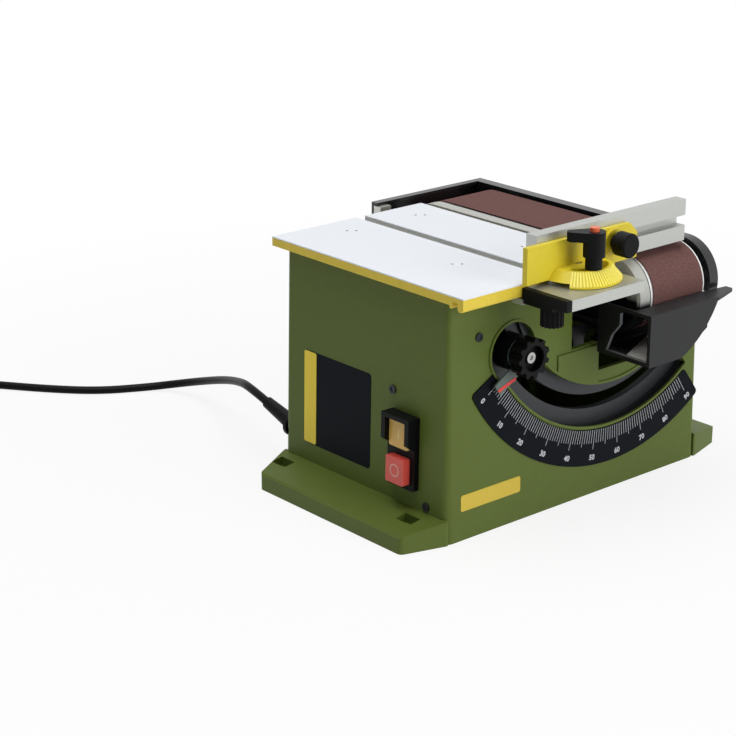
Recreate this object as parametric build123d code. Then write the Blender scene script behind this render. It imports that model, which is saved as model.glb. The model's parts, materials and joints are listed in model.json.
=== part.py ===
from build123d import *
import math
import os

# Bench belt sander with a tilting belt unit, a fixed table and a mitre gauge.
# Millimetres. Origin: centre of the four bench bolts, on the bench. +Z up,
# -Y is the front with the tilt scale, -X is the table side with the switch.

# Housing
housing_width = 240.0
housing_depth = 165.0
housing_wall = 4.0
housing_corner = 6.0
housing_draft = 1.1
right_wall_height = 136.0
bolt_spacing_x = 263.0
bolt_spacing_y = 128.0
bolt_front_inset = 23.5
bolt_hole_radius = 2.75
bolt_pocket_length = 14.0
bolt_pocket_width = 9.0
bolt_seat_height = 9.0
flange_width = 31.0
flange_edge_height = 12.0
flange_root_height = 16.7
flange_front_set = 9.0
flange_back_set = 13.0
flange_corner = 4.0
flange_edge_break = 1.5
bottom_plate_thickness = 2.0
bottom_plate_play = 0.3
bottom_vent_length = 80.0
bottom_vent_width = 9.0
bottom_post_radius = 5.6
bottom_post_height = 20.0
bottom_screw_radius = 1.7
bottom_head_radius = 3.5
bottom_head_height = 1.6
bottom_post_inset = 4.6

# Table
table_top = 169.0
table_width = 134.0
table_length = 186.2
table_edge = 6.3
table_left_overhang = 2.7
table_front_overhang = 15.3
table_sheet = 0.8
rail_height = 9.2
rail_lip = 5.0
rail_groove = 4.3
rail_groove_depth = 5.6
rail_bead = 3.0
rail_bead_drop = 1.9
slot_width = 8.0
slot_depth = 5.0
slot_from_left = 77.7
slot_rib_wall = 3.0
slot_rib_drop = 3.0
bearer_width = 12.0
bearer_height = 8.0
bearer_ledge = 8.0
table_screw_rows = (49.2, 111.6)
table_screw_lines = (57.9, 162.2)
table_screw_radius = 2.0
table_screw_head = 5.5
table_screw_cone = 2.2
table_screw_pin = 0.9
table_screw_pin_spacing = 6.3
table_screw_pin_depth = 1.5
table_screw_turn = -40.0

# Tilt axis, along Y, just above the middle of the belt's left edge
pivot_from_left = 151.0
pivot_drop = 1.0
tilt_stud_radius = 105.5
tilt_stud_angle = -151.6
scale_zero_angle = -147.4
tilt_range = 90.0
opening_in_reach = 14.0
opening_out_reach = 15.0
opening_end_radius = 19.5
opening_right_angle = -52.0
opening_lip = 1.8
opening_lip_height = 1.0
scale_gap = 0.7
scale_width = 25.0
scale_margin_low = 3.6
scale_margin_high = 3.8
scale_thickness = 1.0
scale_corner = 3.0
guide_in_reach = 19.5
guide_out_reach = 20.5
guide_slot_half = 5.0
guide_lip = 4.5
guide_thickness = 5.0
guide_setback = 5.0
guide_end_margin = 11.5
guide_slot_margin = 8.0
guide_ear_angle = -164.5
guide_ear_offset = 1.4
guide_ear_size = 6.0
guide_play = 1.0
shoe_half_angle = 6.5
shoe_play = 0.3
front_gap = 0.3

# Arm cut-outs in the front and rear walls, as distances from the tilt axis
cutout_step_left = 39.0
cutout_low_left = 14.0
cutout_step_drop = 61.0
cutout_bridge = 9.5
cutout_flat = 1.0
cutout_right = 73.0
pad_left = 52.0
pad_gap = 1.5

# Sanding belt, rollers and arm
belt_width = 48.0
belt_thickness = 0.7
belt_drop = 1.6
belt_pivot_gap = 1.3
belt_play = 0.25
drum_radius = 25.3
drum_margin_left = 1.8
drum_margin_right = 1.0
drum_end_gap = 1.0
roller_front_overhang = 5.5
roller_rear_overhang = 1.1
bearing_radius = 8.0
bearing_width = 4.0
bearing_inset = 2.0
axle_radius = 4.0
running_play = 0.05
seat_play = 0.02
left_cheek_width = 10.2
cheek_web = 4.0
cheek_rim = 3.0
right_cheek_radius = 16.5
bearing_boss_wall = 5.0
beam_thickness = 5.0
beam_roller_gap = 8.9
beam_rib = 5.0
beam_rib_clear = 5.0
beam_rib_count = 3
platen_thickness = 1.5
platen_side_gap = 1.2
platen_reach = 4.0
slide_block_width = 16.0
slide_block_height = 15.4
slide_flange = 2.8
slide_flange_width = 4.7
slide_play = 0.3
spring_length = 18.0
spring_radius = 1.5
spring_wire = 0.7
spring_turns = 4
tracking_shank = 1.5
tracking_boss = 8.0
tracking_boss_width = 7.0
tracking_head_radius = 4.5
tracking_head_length = 6.0
tracking_window_gap = 1.0

# Belt guard, dust hood and drive cover
guard_gap = 1.2
guard_wall = 2.5
guard_width = 8.2
guard_skirt = 6.0
guard_back_gap = 2.8
guard_back_depth = 6.0
guard_left_reach = 43.0
guard_block_width = 10.0
guard_block_height = 11.0
guard_block_depth = 3.5
hood_reach = 48.6
hood_wall = 2.5
hood_left_offset = 20.0
hood_right_offset = 46.4
hood_top_drop = 30.0
hood_bottom_drop = 65.0
hood_corner_offset = 11.0
hood_bulge_offset = 29.0
hood_bulge_drop = 53.6
hood_trough_corner = 42.0
hood_side_drop = 57.0
hood_panel_depth = 16.0
hood_back_gap = 3.0
hood_drum_gap = 1.0
hood_flange_tip = 68.0
hood_flange_depth = 15.0
hood_flange_tip_depth = 7.0
hood_notch_run_high = 23.9
hood_notch_run_mid = 26.7
hood_notch_run_low = 33.6
hood_notch_run_sill = 38.0
hood_notch_drop_high = 4.0
hood_notch_drop_mid = 12.0
hood_notch_drop_low = 20.6
hood_sill = 3.0
hood_tongue_inset = 13.0
hood_tongue_width = 45.0
hood_tongue_rise = 1.25

# Swing frame, motor and drive
swing_plate = 4.0
swing_plate_height = 22.0
swing_end_radius = 14.0
swing_corner = 20.0
swing_hole_radius = 7.0
swing_hole_pitch = 24.0
swing_hole_count = 4
stud_radius = 3.0
motor_from_front = 100.0
motor_drop = 44.0
motor_radius = 28.0
motor_length = 90.0
motor_wall = 2.5
motor_end_bell = 8.0
motor_nose_radius = 11.0
motor_nose_length = 3.0
motor_vent_count = 8
motor_vent_radius = 3.0
motor_vent_ring = 19.0
bracket_thickness = 4.0
bracket_height = 16.0
bracket_ring = 2.0
pulley_width = 10.0
pulley_gap = 2.0
drive_pulley_radius = 12.5
motor_pulley_radius = 8.0
drive_belt_thickness = 1.0
drive_belt_width = 9.0
drive_cover_gap = 0.7
drive_cover_wall = 1.2
armature_radius = 20.0
armature_gap = 5.0
fan_radius = 22.0
fan_blades = 9
fan_width = 7.0
fan_blade = 1.75
motor_shaft_radius = 3.0

# Tilt clamp
hub_radius = 12.0
hub_reach = 2.4
pointer_thickness = 1.2
pointer_start = 2.5
pointer_overlap = 9.0
pointer_width = 9.0
pointer_ring = 9.5
knob_radius = 13.5
knob_length = 13.1
knob_lobes = 11
knob_scallop = 2.4
knob_recess_radius = 8.5
knob_recess_depth = 5.0
knob_screw_radius = 3.6
knob_screw_height = 2.4
knob_screw_socket = 1.8
knob_screw_sides = 6
knob_neck_radius = 10.0
knob_neck_length = 4.0

# Switch on the left wall, measured along the wall
switch_from_front = 40.1
switch_height = 54.3
switch_frame_width = 26.0
switch_frame_height = 50.0
switch_corner = 1.5
switch_rim = 4.0
switch_hood = 10.0
switch_hood_slope = 35.0
switch_body_depth = 18.0
switch_body_margin = 2.5
on_width = 18.0
on_height = 19.0
on_face = 6.5
off_width = 17.0
off_height = 18.0
off_face = 9.5
button_play = 0.3
button_travel = 3.0
button_tail = 2.5
button_end_gap = 3.3
button_corner = 1.2
wall_screws_left = ((53.3, 91.7), (19.3, 21.1))
wall_screw_radius = 3.0
wall_screw_height = 1.0
wall_screw_shank = 1.6

# Mitre gauge
gauge_plate_width = 65.5
gauge_plate_depth = 38.8
gauge_plate_thickness = 7.2
gauge_plate_drop = 2.5
gauge_right_gap = 14.4
rail_play = 0.3
clamp_side = 4.4
clamp_slab_inset = 1.5
clamp_slab_margin = 1.0
clamp_slab = 3.2
clamp_slab_reach = 14.0
jaw_width = 18.0
jaw_drop = 0.8
jaw_thickness = 4.0
jaw_hook_play = 0.3
rail_knob_radius = 7.5
rail_knob_height = 11.7
rail_knob_lobes = 16
rail_knob_scallop = 0.9
rail_knob_inset_x = 6.0
rail_knob_inset_y = 22.4
rail_stud_radius = 2.5
rail_stud_length = 2.9
head_from_plate_right = 26.9
head_setback = 6.7
head_radius = 28.0
head_bevel_radius = 20.5
head_step = 3.1
head_thickness = 9.2
head_low_start = -147.0
head_low_end = -13.0
head_bevel_start = 1.0
head_gap = 0.3
head_slot_radius = 16.0
head_slot_half = 2.9
head_slot_angle = 55.0
head_wall = 4.0
head_wall_left = 45.5
head_wall_right = 54.0
head_wall_height = 23.8
head_wall_corner = 7.0
head_boss_radius = 8.5
head_boss_offset = 31.0
head_boss_rise = 15.2
head_boss_length = 1.6
pivot_pin_radius = 3.0
pivot_pin_depth = 6.0
clamp_stud_radius = 2.5
clamp_stud_offset = 3.0
clamp_stud_height = 25.5
fence_length = 138.9
fence_right_gap = 5.0
fence_depth = 9.0
fence_height = 28.0
fence_rise = 1.4
fence_groove_depth = 7.2
fence_groove_height = 6.8
fence_nut_length = 14.0
fence_nut_depth = 4.0
fence_nut_play = 0.3
fence_knob_radius = 8.0
fence_knob_length = 14.5
fence_knob_edge = 1.2
fence_knob_neck = 4.5
fence_knob_neck_length = 3.0
fence_stud_radius = 2.0
lever_hub_radius = 7.0
lever_neck_radius = 5.4
lever_neck_length = 7.8
lever_rise = 24.0
lever_arm_length = 17.2
lever_arm_width = 7.5
lever_arm_height = 6.2
lever_arm_angle = 139.0
lever_button_radius = 3.0
lever_button_height = 2.6
lever_button_depth = 3.0
lever_button_play = 0.3
lever_button_travel = 2.0

# Cord, strain relief, coil, tie and plug
cord_diameter = 6.0
gland_from_left = 9.0
gland_height = 33.0
gland_rise = 15.7
gland_length = 31.0
gland_collar_radius = 8.0
gland_collar_length = 3.0
gland_cone_start = 2.0
gland_root_radius = 5.6
gland_tip_radius = 4.2
cord_points = (
    (-98.0, 155.0, 40.5),
    (-83.0, 194.0, 28.0),
    (-76.0, 235.0, 14.0),
    (-82.0, 261.0, 6.0),
    (-96.0, 274.5, 3.2),
    (-129.5, 292.0, 3.1),
    (-156.7, 320.0, 3.3),
)
cord_corner_share = 0.45
cord_first_run = 21.0
cord_last_run = 34.0
coil_center = (-249.0, 362.0)
coil_outer_radius = 46.0
coil_entry_angle = 37.5
coil_pitch = 6.6
coil_lift = 4.0
coil_layer = 6.6
coil_turns_in = 3.25
coil_end_angle = 180.0
coil_end_turn = 7
tie_width = 6.0
tie_thickness = 0.8
tie_gap = 0.15
tie_slack = 1.2
tie_angle = 110.0
plug_length = 38.0
plug_width = 30.0
plug_neck_length = 36.0
plug_neck_tip = 3.5
plug_neck_radius = 7.0
plug_pin_radius = 2.4
plug_pin_length = 19.0
plug_pin_spacing = 19.0
samples_per_turn = 36

# Places worked out from the sizes above
half_width = housing_width / 2
housing_front = -bolt_spacing_y / 2 - bolt_front_inset
housing_back = housing_front + housing_depth
housing_mid = (housing_front + housing_back) / 2
housing_top = table_top - table_edge
lean = math.tan(math.radians(housing_draft))
lean_cos = math.cos(math.radians(housing_draft))
lean_sin = math.sin(math.radians(housing_draft))
table_left = -half_width - table_left_overhang
table_right = table_left + table_width
table_front = housing_front - table_front_overhang
table_back = table_front + table_length
slot_x = table_left + slot_from_left
pivot_x = -half_width + pivot_from_left
pivot_z = table_top - pivot_drop
opening_inner = tilt_stud_radius - opening_in_reach
opening_outer = tilt_stud_radius + opening_out_reach
scale_inner = opening_outer + opening_lip + scale_gap
scale_outer = scale_inner + scale_width
guide_inner = tilt_stud_radius - guide_in_reach
guide_outer = tilt_stud_radius + guide_out_reach
guide_slot_inner = tilt_stud_radius - guide_slot_half
guide_slot_outer = tilt_stud_radius + guide_slot_half
cutout_floor_radius = opening_inner - cutout_bridge
pointer_inner = tilt_stud_radius + pointer_start
pointer_outer = scale_inner + pointer_overlap
belt_left = pivot_x + belt_pivot_gap
belt_right = belt_left + belt_width
belt_top = table_top - belt_drop
belt_radius = drum_radius + belt_thickness
axle_z = belt_top - belt_radius
front_axle_y = housing_front - roller_front_overhang
rear_axle_y = housing_back + roller_rear_overhang
roller_span = rear_axle_y - front_axle_y
axle_mid_y = (front_axle_y + rear_axle_y) / 2
drum_left = belt_left - drum_margin_left
drum_right = belt_right + drum_margin_right
left_cheek_in = drum_left - drum_end_gap
left_cheek_out = left_cheek_in - left_cheek_width
right_cheek_in = drum_right + drum_end_gap
right_cheek_out = right_cheek_in + cheek_web
cheek_floor = axle_z - belt_radius
guide_front = housing_front + housing_wall + guide_setback
guide_back = guide_front + guide_thickness
rear_guide_back = housing_back - housing_wall - guide_setback
rear_guide_front = rear_guide_back - guide_thickness
front_swing_y = guide_back + guide_play
rear_swing_y = rear_guide_front - guide_play
beam_front = front_axle_y + drum_radius + beam_roller_gap
beam_back = rear_axle_y - drum_radius - beam_roller_gap
slot_front = front_axle_y - slide_block_width / 2 - slide_play
slot_back = front_axle_y + slide_block_width / 2 + spring_length
guard_in = right_cheek_out
guard_out = guard_in + guard_width
guard_radius = belt_radius + guard_gap
guard_top = axle_z + guard_radius
guard_floor = axle_z - guard_skirt
guard_back = rear_axle_y + belt_radius + guard_back_gap + guard_wall
pulley_right = left_cheek_out - pulley_gap
pulley_left = pulley_right - pulley_width
motor_y = housing_front + motor_from_front
motor_z = pivot_z - motor_drop
bracket_right = pulley_left - pulley_gap
bracket_left = bracket_right - bracket_thickness
motor_left = bracket_left - motor_length
hub_back = guide_front - front_gap
hub_front = housing_front - hub_reach
pointer_front = hub_front - pointer_thickness
knob_back = pointer_front - front_gap
knob_front = knob_back - knob_length
switch_y = housing_front + switch_from_front
button_offset = switch_frame_height / 2 - button_end_gap - on_height / 2
plate_top = table_top - gauge_plate_drop
plate_bottom = plate_top - gauge_plate_thickness
plate_back = table_front - rail_play
plate_front = plate_back - gauge_plate_depth
plate_right = table_right - gauge_right_gap
plate_left = plate_right - gauge_plate_width
slab_bottom = plate_bottom - clamp_slab
head_x = plate_right - head_from_plate_right
head_y = table_front - head_setback
head_bottom = plate_top + head_gap
head_top = head_bottom + head_thickness
boss_x = head_x + head_boss_offset
boss_z = table_top + head_boss_rise
wall_bottom = head_bottom + head_step - head_gap
fence_right = belt_right - fence_right_gap
fence_left = fence_right - fence_length
fence_front = head_y + head_wall + slide_play
fence_bottom = table_top + fence_rise
lever_x = head_x - clamp_stud_offset
lever_y = head_y - math.sqrt(head_slot_radius**2 - clamp_stud_offset**2)
lever_bottom = head_top + head_gap
lever_top = lever_bottom + lever_rise

front_face = Plane(
    origin=(0, housing_front, 0), x_dir=(1, 0, 0), z_dir=(0, -lean_cos, lean_sin)
)
left_face = Plane(
    origin=(-half_width, 0, 0), x_dir=(0, -1, 0), z_dir=(-lean_cos, 0, lean_sin)
)


def box(x0, x1, y0, y1, z0, z1):
    middle = Pos((x0 + x1) / 2, (y0 + y1) / 2, (z0 + z1) / 2)
    return middle * Box(x1 - x0, y1 - y0, z1 - z0)


def along_x(sketch, x0, x1):
    """A sketch drawn in Y and Z, drawn out along X."""
    plane = Plane(origin=(x0, 0, 0), x_dir=(0, 1, 0), z_dir=(1, 0, 0))
    return plane * extrude(sketch, x1 - x0)


def along_y(sketch, y0, y1):
    """A sketch drawn in X and Z, drawn out along Y."""
    plane = Plane(origin=(0, y1, 0), x_dir=(1, 0, 0), z_dir=(0, -1, 0))
    return plane * extrude(sketch, y1 - y0)


def along_z(sketch, z0, z1):
    return Pos(0, 0, z0) * extrude(sketch, z1 - z0)


def disc(radius, a, b):
    return Pos(a, b) * Circle(radius)


def rect(a0, a1, b0, b1):
    return Pos((a0 + a1) / 2, (b0 + b1) / 2) * Rectangle(a1 - a0, b1 - b0)


def shape(*points):
    """A face with straight sides through these points."""
    return make_face(Polyline(*points, close=True))


def polar(radius, angle):
    turn = math.radians(angle)
    return (pivot_x + radius * math.cos(turn), pivot_z + radius * math.sin(turn))


def arc_band(inner, outer, start, end):
    """A ring sector about the tilt axis, drawn in X and Z."""
    middle = (start + end) / 2
    edges = [
        ThreePointArc(polar(outer, start), polar(outer, middle), polar(outer, end)),
        Line(polar(outer, end), polar(inner, end)),
        ThreePointArc(polar(inner, end), polar(inner, middle), polar(inner, start)),
        Line(polar(inner, start), polar(outer, start)),
    ]
    return make_face(edges)


def obround(radius):
    """The belt's side outline, drawn in Y and Z."""
    return Pos(axle_mid_y, axle_z) * SlotCenterToCenter(roller_span, 2 * radius)


def lobed(radius, lobes, scallop):
    """A round grip with hollows cut round its rim."""
    outline = Circle(radius)
    for number in range(lobes):
        turn = 2 * math.pi * number / lobes
        outline -= disc(scallop, radius * math.cos(turn), radius * math.sin(turn))
    return outline


def cavity():
    """The space inside the housing walls."""
    outline = RectangleRounded(
        housing_width - 2 * housing_wall,
        housing_depth - 2 * housing_wall,
        housing_corner - housing_wall / 2,
    )
    return Pos(0, housing_mid, 0) * extrude(outline, amount=housing_top, taper=housing_draft)


def opening_sketch():
    end_center = polar(tilt_stud_radius, tilt_stud_angle)
    band = arc_band(opening_inner, opening_outer, tilt_stud_angle, opening_right_angle)
    return band + disc(opening_end_radius, *end_center)


def cutout_sketch():
    """The arm's opening in the front and rear walls, drawn in X and Z."""
    tall = housing_top + housing_wall
    left = pivot_x - cutout_step_left
    upper = rect(left, pivot_x + cutout_right, pivot_z - cutout_step_drop, tall)
    floor = Pos(pivot_x, pivot_z) * Circle(cutout_floor_radius)
    low = rect(
        pivot_x - cutout_low_left,
        pivot_x + cutout_right,
        pivot_z - cutout_floor_radius + cutout_flat,
        pivot_z,
    )
    above = floor + rect(left, pivot_x, pivot_z - cutout_step_drop, tall)
    return (upper & above) + (low & floor)


def pad_sketch():
    """A raised field of the front wall between the arm's cut-out and the arc opening."""
    field = Pos(pivot_x, pivot_z) * Circle(opening_inner - opening_lip / 2)
    return field & rect(
        pivot_x - pad_left,
        pivot_x - cutout_low_left,
        pivot_z - opening_inner,
        pivot_z - cutout_step_drop - pad_gap,
    )


def flange():
    inner = -half_width + housing_wall / 2
    outer = -half_width - flange_width
    slope = (flange_root_height - flange_edge_height) / flange_width
    root = flange_edge_height + slope * (inner - outer)
    section = shape(
        (inner, 0),
        (inner, root),
        (outer + flange_edge_break, flange_edge_height),
        (outer, flange_edge_height - flange_edge_break),
        (outer, 0),
    )
    plan = shape(
        (inner, housing_front),
        (-half_width, housing_front),
        (outer, housing_front + flange_front_set),
        (outer, housing_back - flange_back_set),
        (-half_width, housing_back),
        (inner, housing_back),
    )
    ends = [v for v in plan.vertices() if v.X < outer + flange_edge_break]
    plan = fillet(ends, flange_corner)
    return along_y(section, housing_front, housing_back) & along_z(plan, 0, root)


def bolt_places():
    return [
        (sx * bolt_spacing_x / 2, sy * bolt_spacing_y / 2) for sx in (-1, 1) for sy in (-1, 1)
    ]


def post_places():
    inset = housing_wall + bottom_post_inset
    x = half_width - inset
    return [(sx * x, y) for sx in (-1, 1) for y in (housing_front + inset, housing_back - inset)]


def bearer_rows():
    return [table_left + row for row in table_screw_rows]


def wall_screw_front():
    return polar(guide_outer + guide_ear_offset, guide_ear_angle)


def housing():
    outline = RectangleRounded(housing_width, housing_depth, housing_corner)
    shell = extrude(outline, amount=housing_top, taper=housing_draft)
    body = Pos(0, housing_mid, 0) * shell - cavity()
    low_side = box(
        pivot_x - cutout_step_left,
        housing_width,
        -housing_depth,
        housing_depth,
        right_wall_height,
        table_top,
    )
    body -= low_side
    body += front_face * extrude(pad_sketch(), opening_lip_height)
    body -= along_y(cutout_sketch(), housing_front - housing_wall, housing_back + housing_wall)
    lip = offset(opening_sketch(), opening_lip)
    raised = front_face * extrude(lip, opening_lip_height)
    body += raised + front_face * extrude(lip, -housing_wall / 2)
    body -= front_face * extrude(opening_sketch(), housing_wall * 2, both=True)
    left = flange()
    body += left + mirror(left, about=Plane.YZ)
    for x, y in bolt_places():
        hole = Pos(x, y) * Circle(bolt_hole_radius)
        body -= along_z(hole, 0, flange_root_height)
        pocket = Pos(x, y) * Rectangle(bolt_pocket_width, bolt_pocket_length)
        body -= along_z(pocket, bolt_seat_height, flange_root_height)
    for x, y in post_places():
        post = Pos(x, y) * Circle(bottom_post_radius)
        body += along_z(post, bottom_plate_thickness, bottom_post_height)
        hole = Pos(x, y) * Circle(bottom_screw_radius + seat_play)
        body -= along_z(hole, 0, bottom_post_height - bottom_plate_thickness)
    seat = housing_top - bearer_height
    half_bearer = bearer_width / 2
    for x in bearer_rows():
        for near, far in ((housing_front, 1), (housing_back, -1)):
            reach = near + far * (housing_wall + lean * housing_top + bearer_ledge)
            start = near + far * (housing_wall / 2 + lean * housing_top)
            ledge = box(
                x - half_bearer,
                min(x + half_bearer, pivot_x - cutout_step_left),
                min(start, reach),
                max(start, reach),
                seat - bearer_ledge,
                seat,
            )
            body += ledge
    switch_hole = Rectangle(
        switch_frame_width - 2 * switch_body_margin + 2 * button_play,
        switch_frame_height - 2 * switch_body_margin + 2 * button_play,
    )
    body -= left_face * extrude(
        Pos(-switch_y, switch_height) * switch_hole, housing_wall * 2, both=True
    )
    place = Pos(half_width - gland_from_left, gland_height)
    body -= rear_face() * extrude(place * Circle(gland_root_radius), housing_wall * 2, both=True)
    for back, height in wall_screws_left:
        place = Pos(-housing_front - back, height)
        body -= left_face * extrude(place * Circle(wall_screw_shank), housing_wall * 2, both=True)
    place = Pos(*wall_screw_front())
    body -= front_face * extrude(place * Circle(wall_screw_shank), housing_wall * 2, both=True)
    return body


def bottom_plate():
    inset = housing_wall + bottom_plate_play
    outline = RectangleRounded(
        housing_width - 2 * inset, housing_depth - 2 * inset, housing_corner - housing_wall / 2
    )
    outline -= SlotOverall(bottom_vent_length, bottom_vent_width)
    plate = along_z(Pos(0, housing_mid) * outline, 0, bottom_plate_thickness)
    for x, y in post_places():
        hole = Pos(x, y) * Circle(bottom_screw_radius + running_play)
        plate -= along_z(hole, 0, bottom_plate_thickness)
        sink = Pos(x, y) * Circle(bottom_head_radius + running_play)
        plate -= along_z(sink, 0, bottom_head_height)
    return plate


def rear_face():
    """The rear wall's outside, drawn with X to the left and height up."""
    return Plane(
        origin=(0, housing_back, 0), x_dir=(-1, 0, 0), z_dir=(0, lean_cos, lean_sin)
    )


def gland_axis():
    """The strain relief's own axis, leaning up out of the rear wall."""
    rise = math.radians(gland_rise)
    y = housing_back - lean * gland_height
    return Plane(
        origin=(-half_width + gland_from_left, y, gland_height),
        x_dir=(1, 0, 0),
        z_dir=(0, math.cos(rise), math.sin(rise)),
    )


def gland_end():
    return gland_axis().origin + gland_axis().z_dir * gland_length


def table_profile():
    top = table_top - table_sheet
    lip_end = table_front + rail_lip
    groove_end = lip_end + rail_groove
    rail_floor = table_top - rail_height
    bead_end = groove_end + rail_bead
    bead_floor = housing_top - rail_bead_drop + rail_bead / 2
    profile = rect(table_front, table_back, housing_top, top)
    profile += rect(table_front, lip_end, rail_floor + rail_lip / 2, housing_top)
    profile += disc(rail_lip / 2, table_front + rail_lip / 2, rail_floor + rail_lip / 2)
    profile += rect(groove_end, bead_end, bead_floor, housing_top)
    profile += disc(rail_bead / 2, groove_end + rail_bead / 2, bead_floor)
    return profile - rect(lip_end, groove_end, rail_floor, rail_floor + rail_groove_depth)


def screw_places():
    return [(x, table_front + line) for x in bearer_rows() for line in table_screw_lines]


def table_slot():
    half = slot_width / 2
    return box(
        slot_x - half,
        slot_x + half,
        table_front - rail_lip,
        table_back + rail_lip,
        table_top - slot_depth,
        table_top + slot_depth,
    )


def countersink(x, y, play):
    head = table_screw_head + play
    cone = Cone(table_screw_radius + play, head, table_screw_cone)
    return Pos(x, y, table_top - table_screw_cone / 2) * cone


def table():
    body = along_x(table_profile(), table_left, table_right)
    reach = slot_width / 2 + slot_rib_wall
    inset = housing_wall + lean * housing_top + bearer_ledge * 2
    body += box(
        slot_x - reach,
        slot_x + reach,
        housing_front + inset,
        housing_back - inset,
        housing_top - slot_rib_drop,
        housing_top,
    )
    body -= table_slot()
    for x, y in screw_places():
        body -= countersink(x, y, running_play)
        hole = Pos(x, y) * Circle(table_screw_radius + running_play)
        body -= along_z(hole, housing_top - table_edge, table_top)
    return body


def table_sheet_plate():
    outline = rect(table_left, table_right, table_front, table_back)
    body = along_z(outline, table_top - table_sheet, table_top) - table_slot()
    for x, y in screw_places():
        body -= countersink(x, y, running_play)
    return body


def table_screws():
    screws = []
    for x, y in screw_places():
        shank = Pos(x, y) * Circle(table_screw_radius)
        screw = countersink(x, y, 0)
        screw += along_z(shank, housing_top - bearer_height, table_top - table_screw_cone)
        for side in (-1, 1):
            hole = Pos(side * table_screw_pin_spacing / 2, 0) * Circle(table_screw_pin)
            pin = Pos(x, y) * Rot(0, 0, table_screw_turn) * hole
            screw -= along_z(pin, table_top - table_screw_pin_depth, table_top)
        screws.append(screw)
    return Compound(screws)


def table_bearers():
    bars = []
    inset = housing_wall + lean * housing_top + slide_play
    for x in bearer_rows():
        bar = box(
            x - bearer_width / 2,
            x + bearer_width / 2,
            housing_front + inset,
            housing_back - inset,
            housing_top - bearer_height,
            housing_top,
        )
        for hole_x, y in screw_places():
            if hole_x == x:
                hole = Pos(x, y) * Circle(table_screw_radius + seat_play)
                bar -= along_z(hole, housing_top - bearer_height, housing_top)
        bars.append(bar)
    return Compound(bars)


def scale_plate():
    start = scale_zero_angle - scale_margin_low
    end = scale_zero_angle + tilt_range + scale_margin_high
    outline = arc_band(scale_inner, scale_outer, start, end)
    outline = fillet(outline.vertices(), scale_corner)
    outline -= offset(opening_sketch(), opening_lip + front_gap)
    return front_face * extrude(outline, scale_thickness)


def arc_guide(front, back, wall_side):
    """A trunnion guide: an arc plate with a slot, standing on lips on its wall."""
    start = tilt_stud_angle - guide_end_margin
    end = tilt_stud_angle + tilt_range + guide_end_margin
    trim = guide_end_margin - guide_slot_margin
    slot = arc_band(guide_slot_inner, guide_slot_outer, start + trim, end - trim)
    plate = along_y(arc_band(guide_inner, guide_outer, start, end) - slot, front, back)
    lips = arc_band(guide_outer - guide_lip, guide_outer, start, end)
    lips += arc_band(guide_inner, guide_inner + guide_lip, start, end)
    lips += disc(guide_ear_size, *wall_screw_front())
    reach = sorted((wall_side, front, back))
    guide = plate + along_y(lips, reach[0], reach[-1])
    hole = disc(wall_screw_shank + slide_play, *wall_screw_front())
    guide -= along_y(hole, reach[0], reach[-1])
    return guide & cavity()


def front_guide():
    return arc_guide(guide_front, guide_back, housing_front)


def rear_guide():
    return arc_guide(rear_guide_front, rear_guide_back, housing_back)


def bottom_screws():
    screws = []
    for x, y in post_places():
        head = along_z(Pos(x, y) * Circle(bottom_head_radius), seat_play, bottom_head_height)
        shank = Pos(x, y) * Circle(bottom_screw_radius)
        tip = bottom_post_height - 2 * bottom_plate_thickness
        screws.append(head + along_z(shank, bottom_head_height, tip))
    return screws


def housing_screws():
    screws = bottom_screws()
    places = [left_face * Pos(-housing_front - back, height) for back, height in wall_screws_left]
    places.append(front_face * Pos(*wall_screw_front()))
    for place in places:
        head = extrude(Circle(wall_screw_radius), wall_screw_height)
        head -= extrude(Circle(wall_screw_shank), wall_screw_height)
        shank = extrude(Circle(wall_screw_shank - seat_play), -housing_wall - guide_setback)
        shank += extrude(Circle(wall_screw_shank), wall_screw_height / 2)
        screws.append(place * (head + shank))
    return Compound(screws)


def switch_place():
    return left_face * Pos(-switch_y, switch_height)


def switch_frame():
    half = switch_frame_height / 2
    outline = RectangleRounded(switch_frame_width, switch_frame_height, switch_corner)
    frame = extrude(outline, switch_rim)
    upper = rect(-switch_frame_width / 2, switch_frame_width / 2, 0, half)
    hood = extrude(upper, switch_hood)
    cutter = Box(switch_frame_width * 2, switch_hood * 2, switch_hood * 4)
    slope = Rot(-switch_hood_slope, 0, 0) * cutter
    frame += hood - Pos(0, -switch_hood / 2, switch_hood) * slope
    body = Rectangle(
        switch_frame_width - 2 * switch_body_margin, switch_frame_height - 2 * switch_body_margin
    )
    frame += extrude(body, -switch_body_depth)
    for width, height, offset_z in (
        (on_width, on_height, button_offset),
        (off_width, off_height, -button_offset),
    ):
        well = Pos(0, offset_z) * Rectangle(width + 2 * button_play, height + 2 * button_play)
        frame -= extrude(well, switch_hood * 2)
        depth = button_tail + button_travel + button_play
        frame -= extrude(well, -depth)
    return switch_place() * frame


def button(width, height, face, offset_z):
    outline = Pos(0, offset_z) * RectangleRounded(width, height, button_corner)
    body = extrude(outline, face) + extrude(outline, -button_tail)
    return switch_place() * body


def on_button():
    return button(on_width, on_height, on_face, button_offset)


def off_button():
    return button(off_width, off_height, off_face, -button_offset)


def cord_gland():
    place = Pos(half_width - gland_from_left, gland_height)
    collar = extrude(place * Circle(gland_collar_radius), gland_collar_length)
    shank = extrude(place * Circle(gland_root_radius - seat_play), -housing_wall)
    cone = Cone(
        gland_root_radius,
        gland_tip_radius,
        gland_length - gland_cone_start,
        align=(Align.CENTER, Align.CENTER, Align.MIN),
    )
    boot = gland_axis() * Pos(0, 0, gland_cone_start) * cone
    return rear_face() * (collar + shank) + boot


def stud_place():
    return polar(tilt_stud_radius, tilt_stud_angle)


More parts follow.
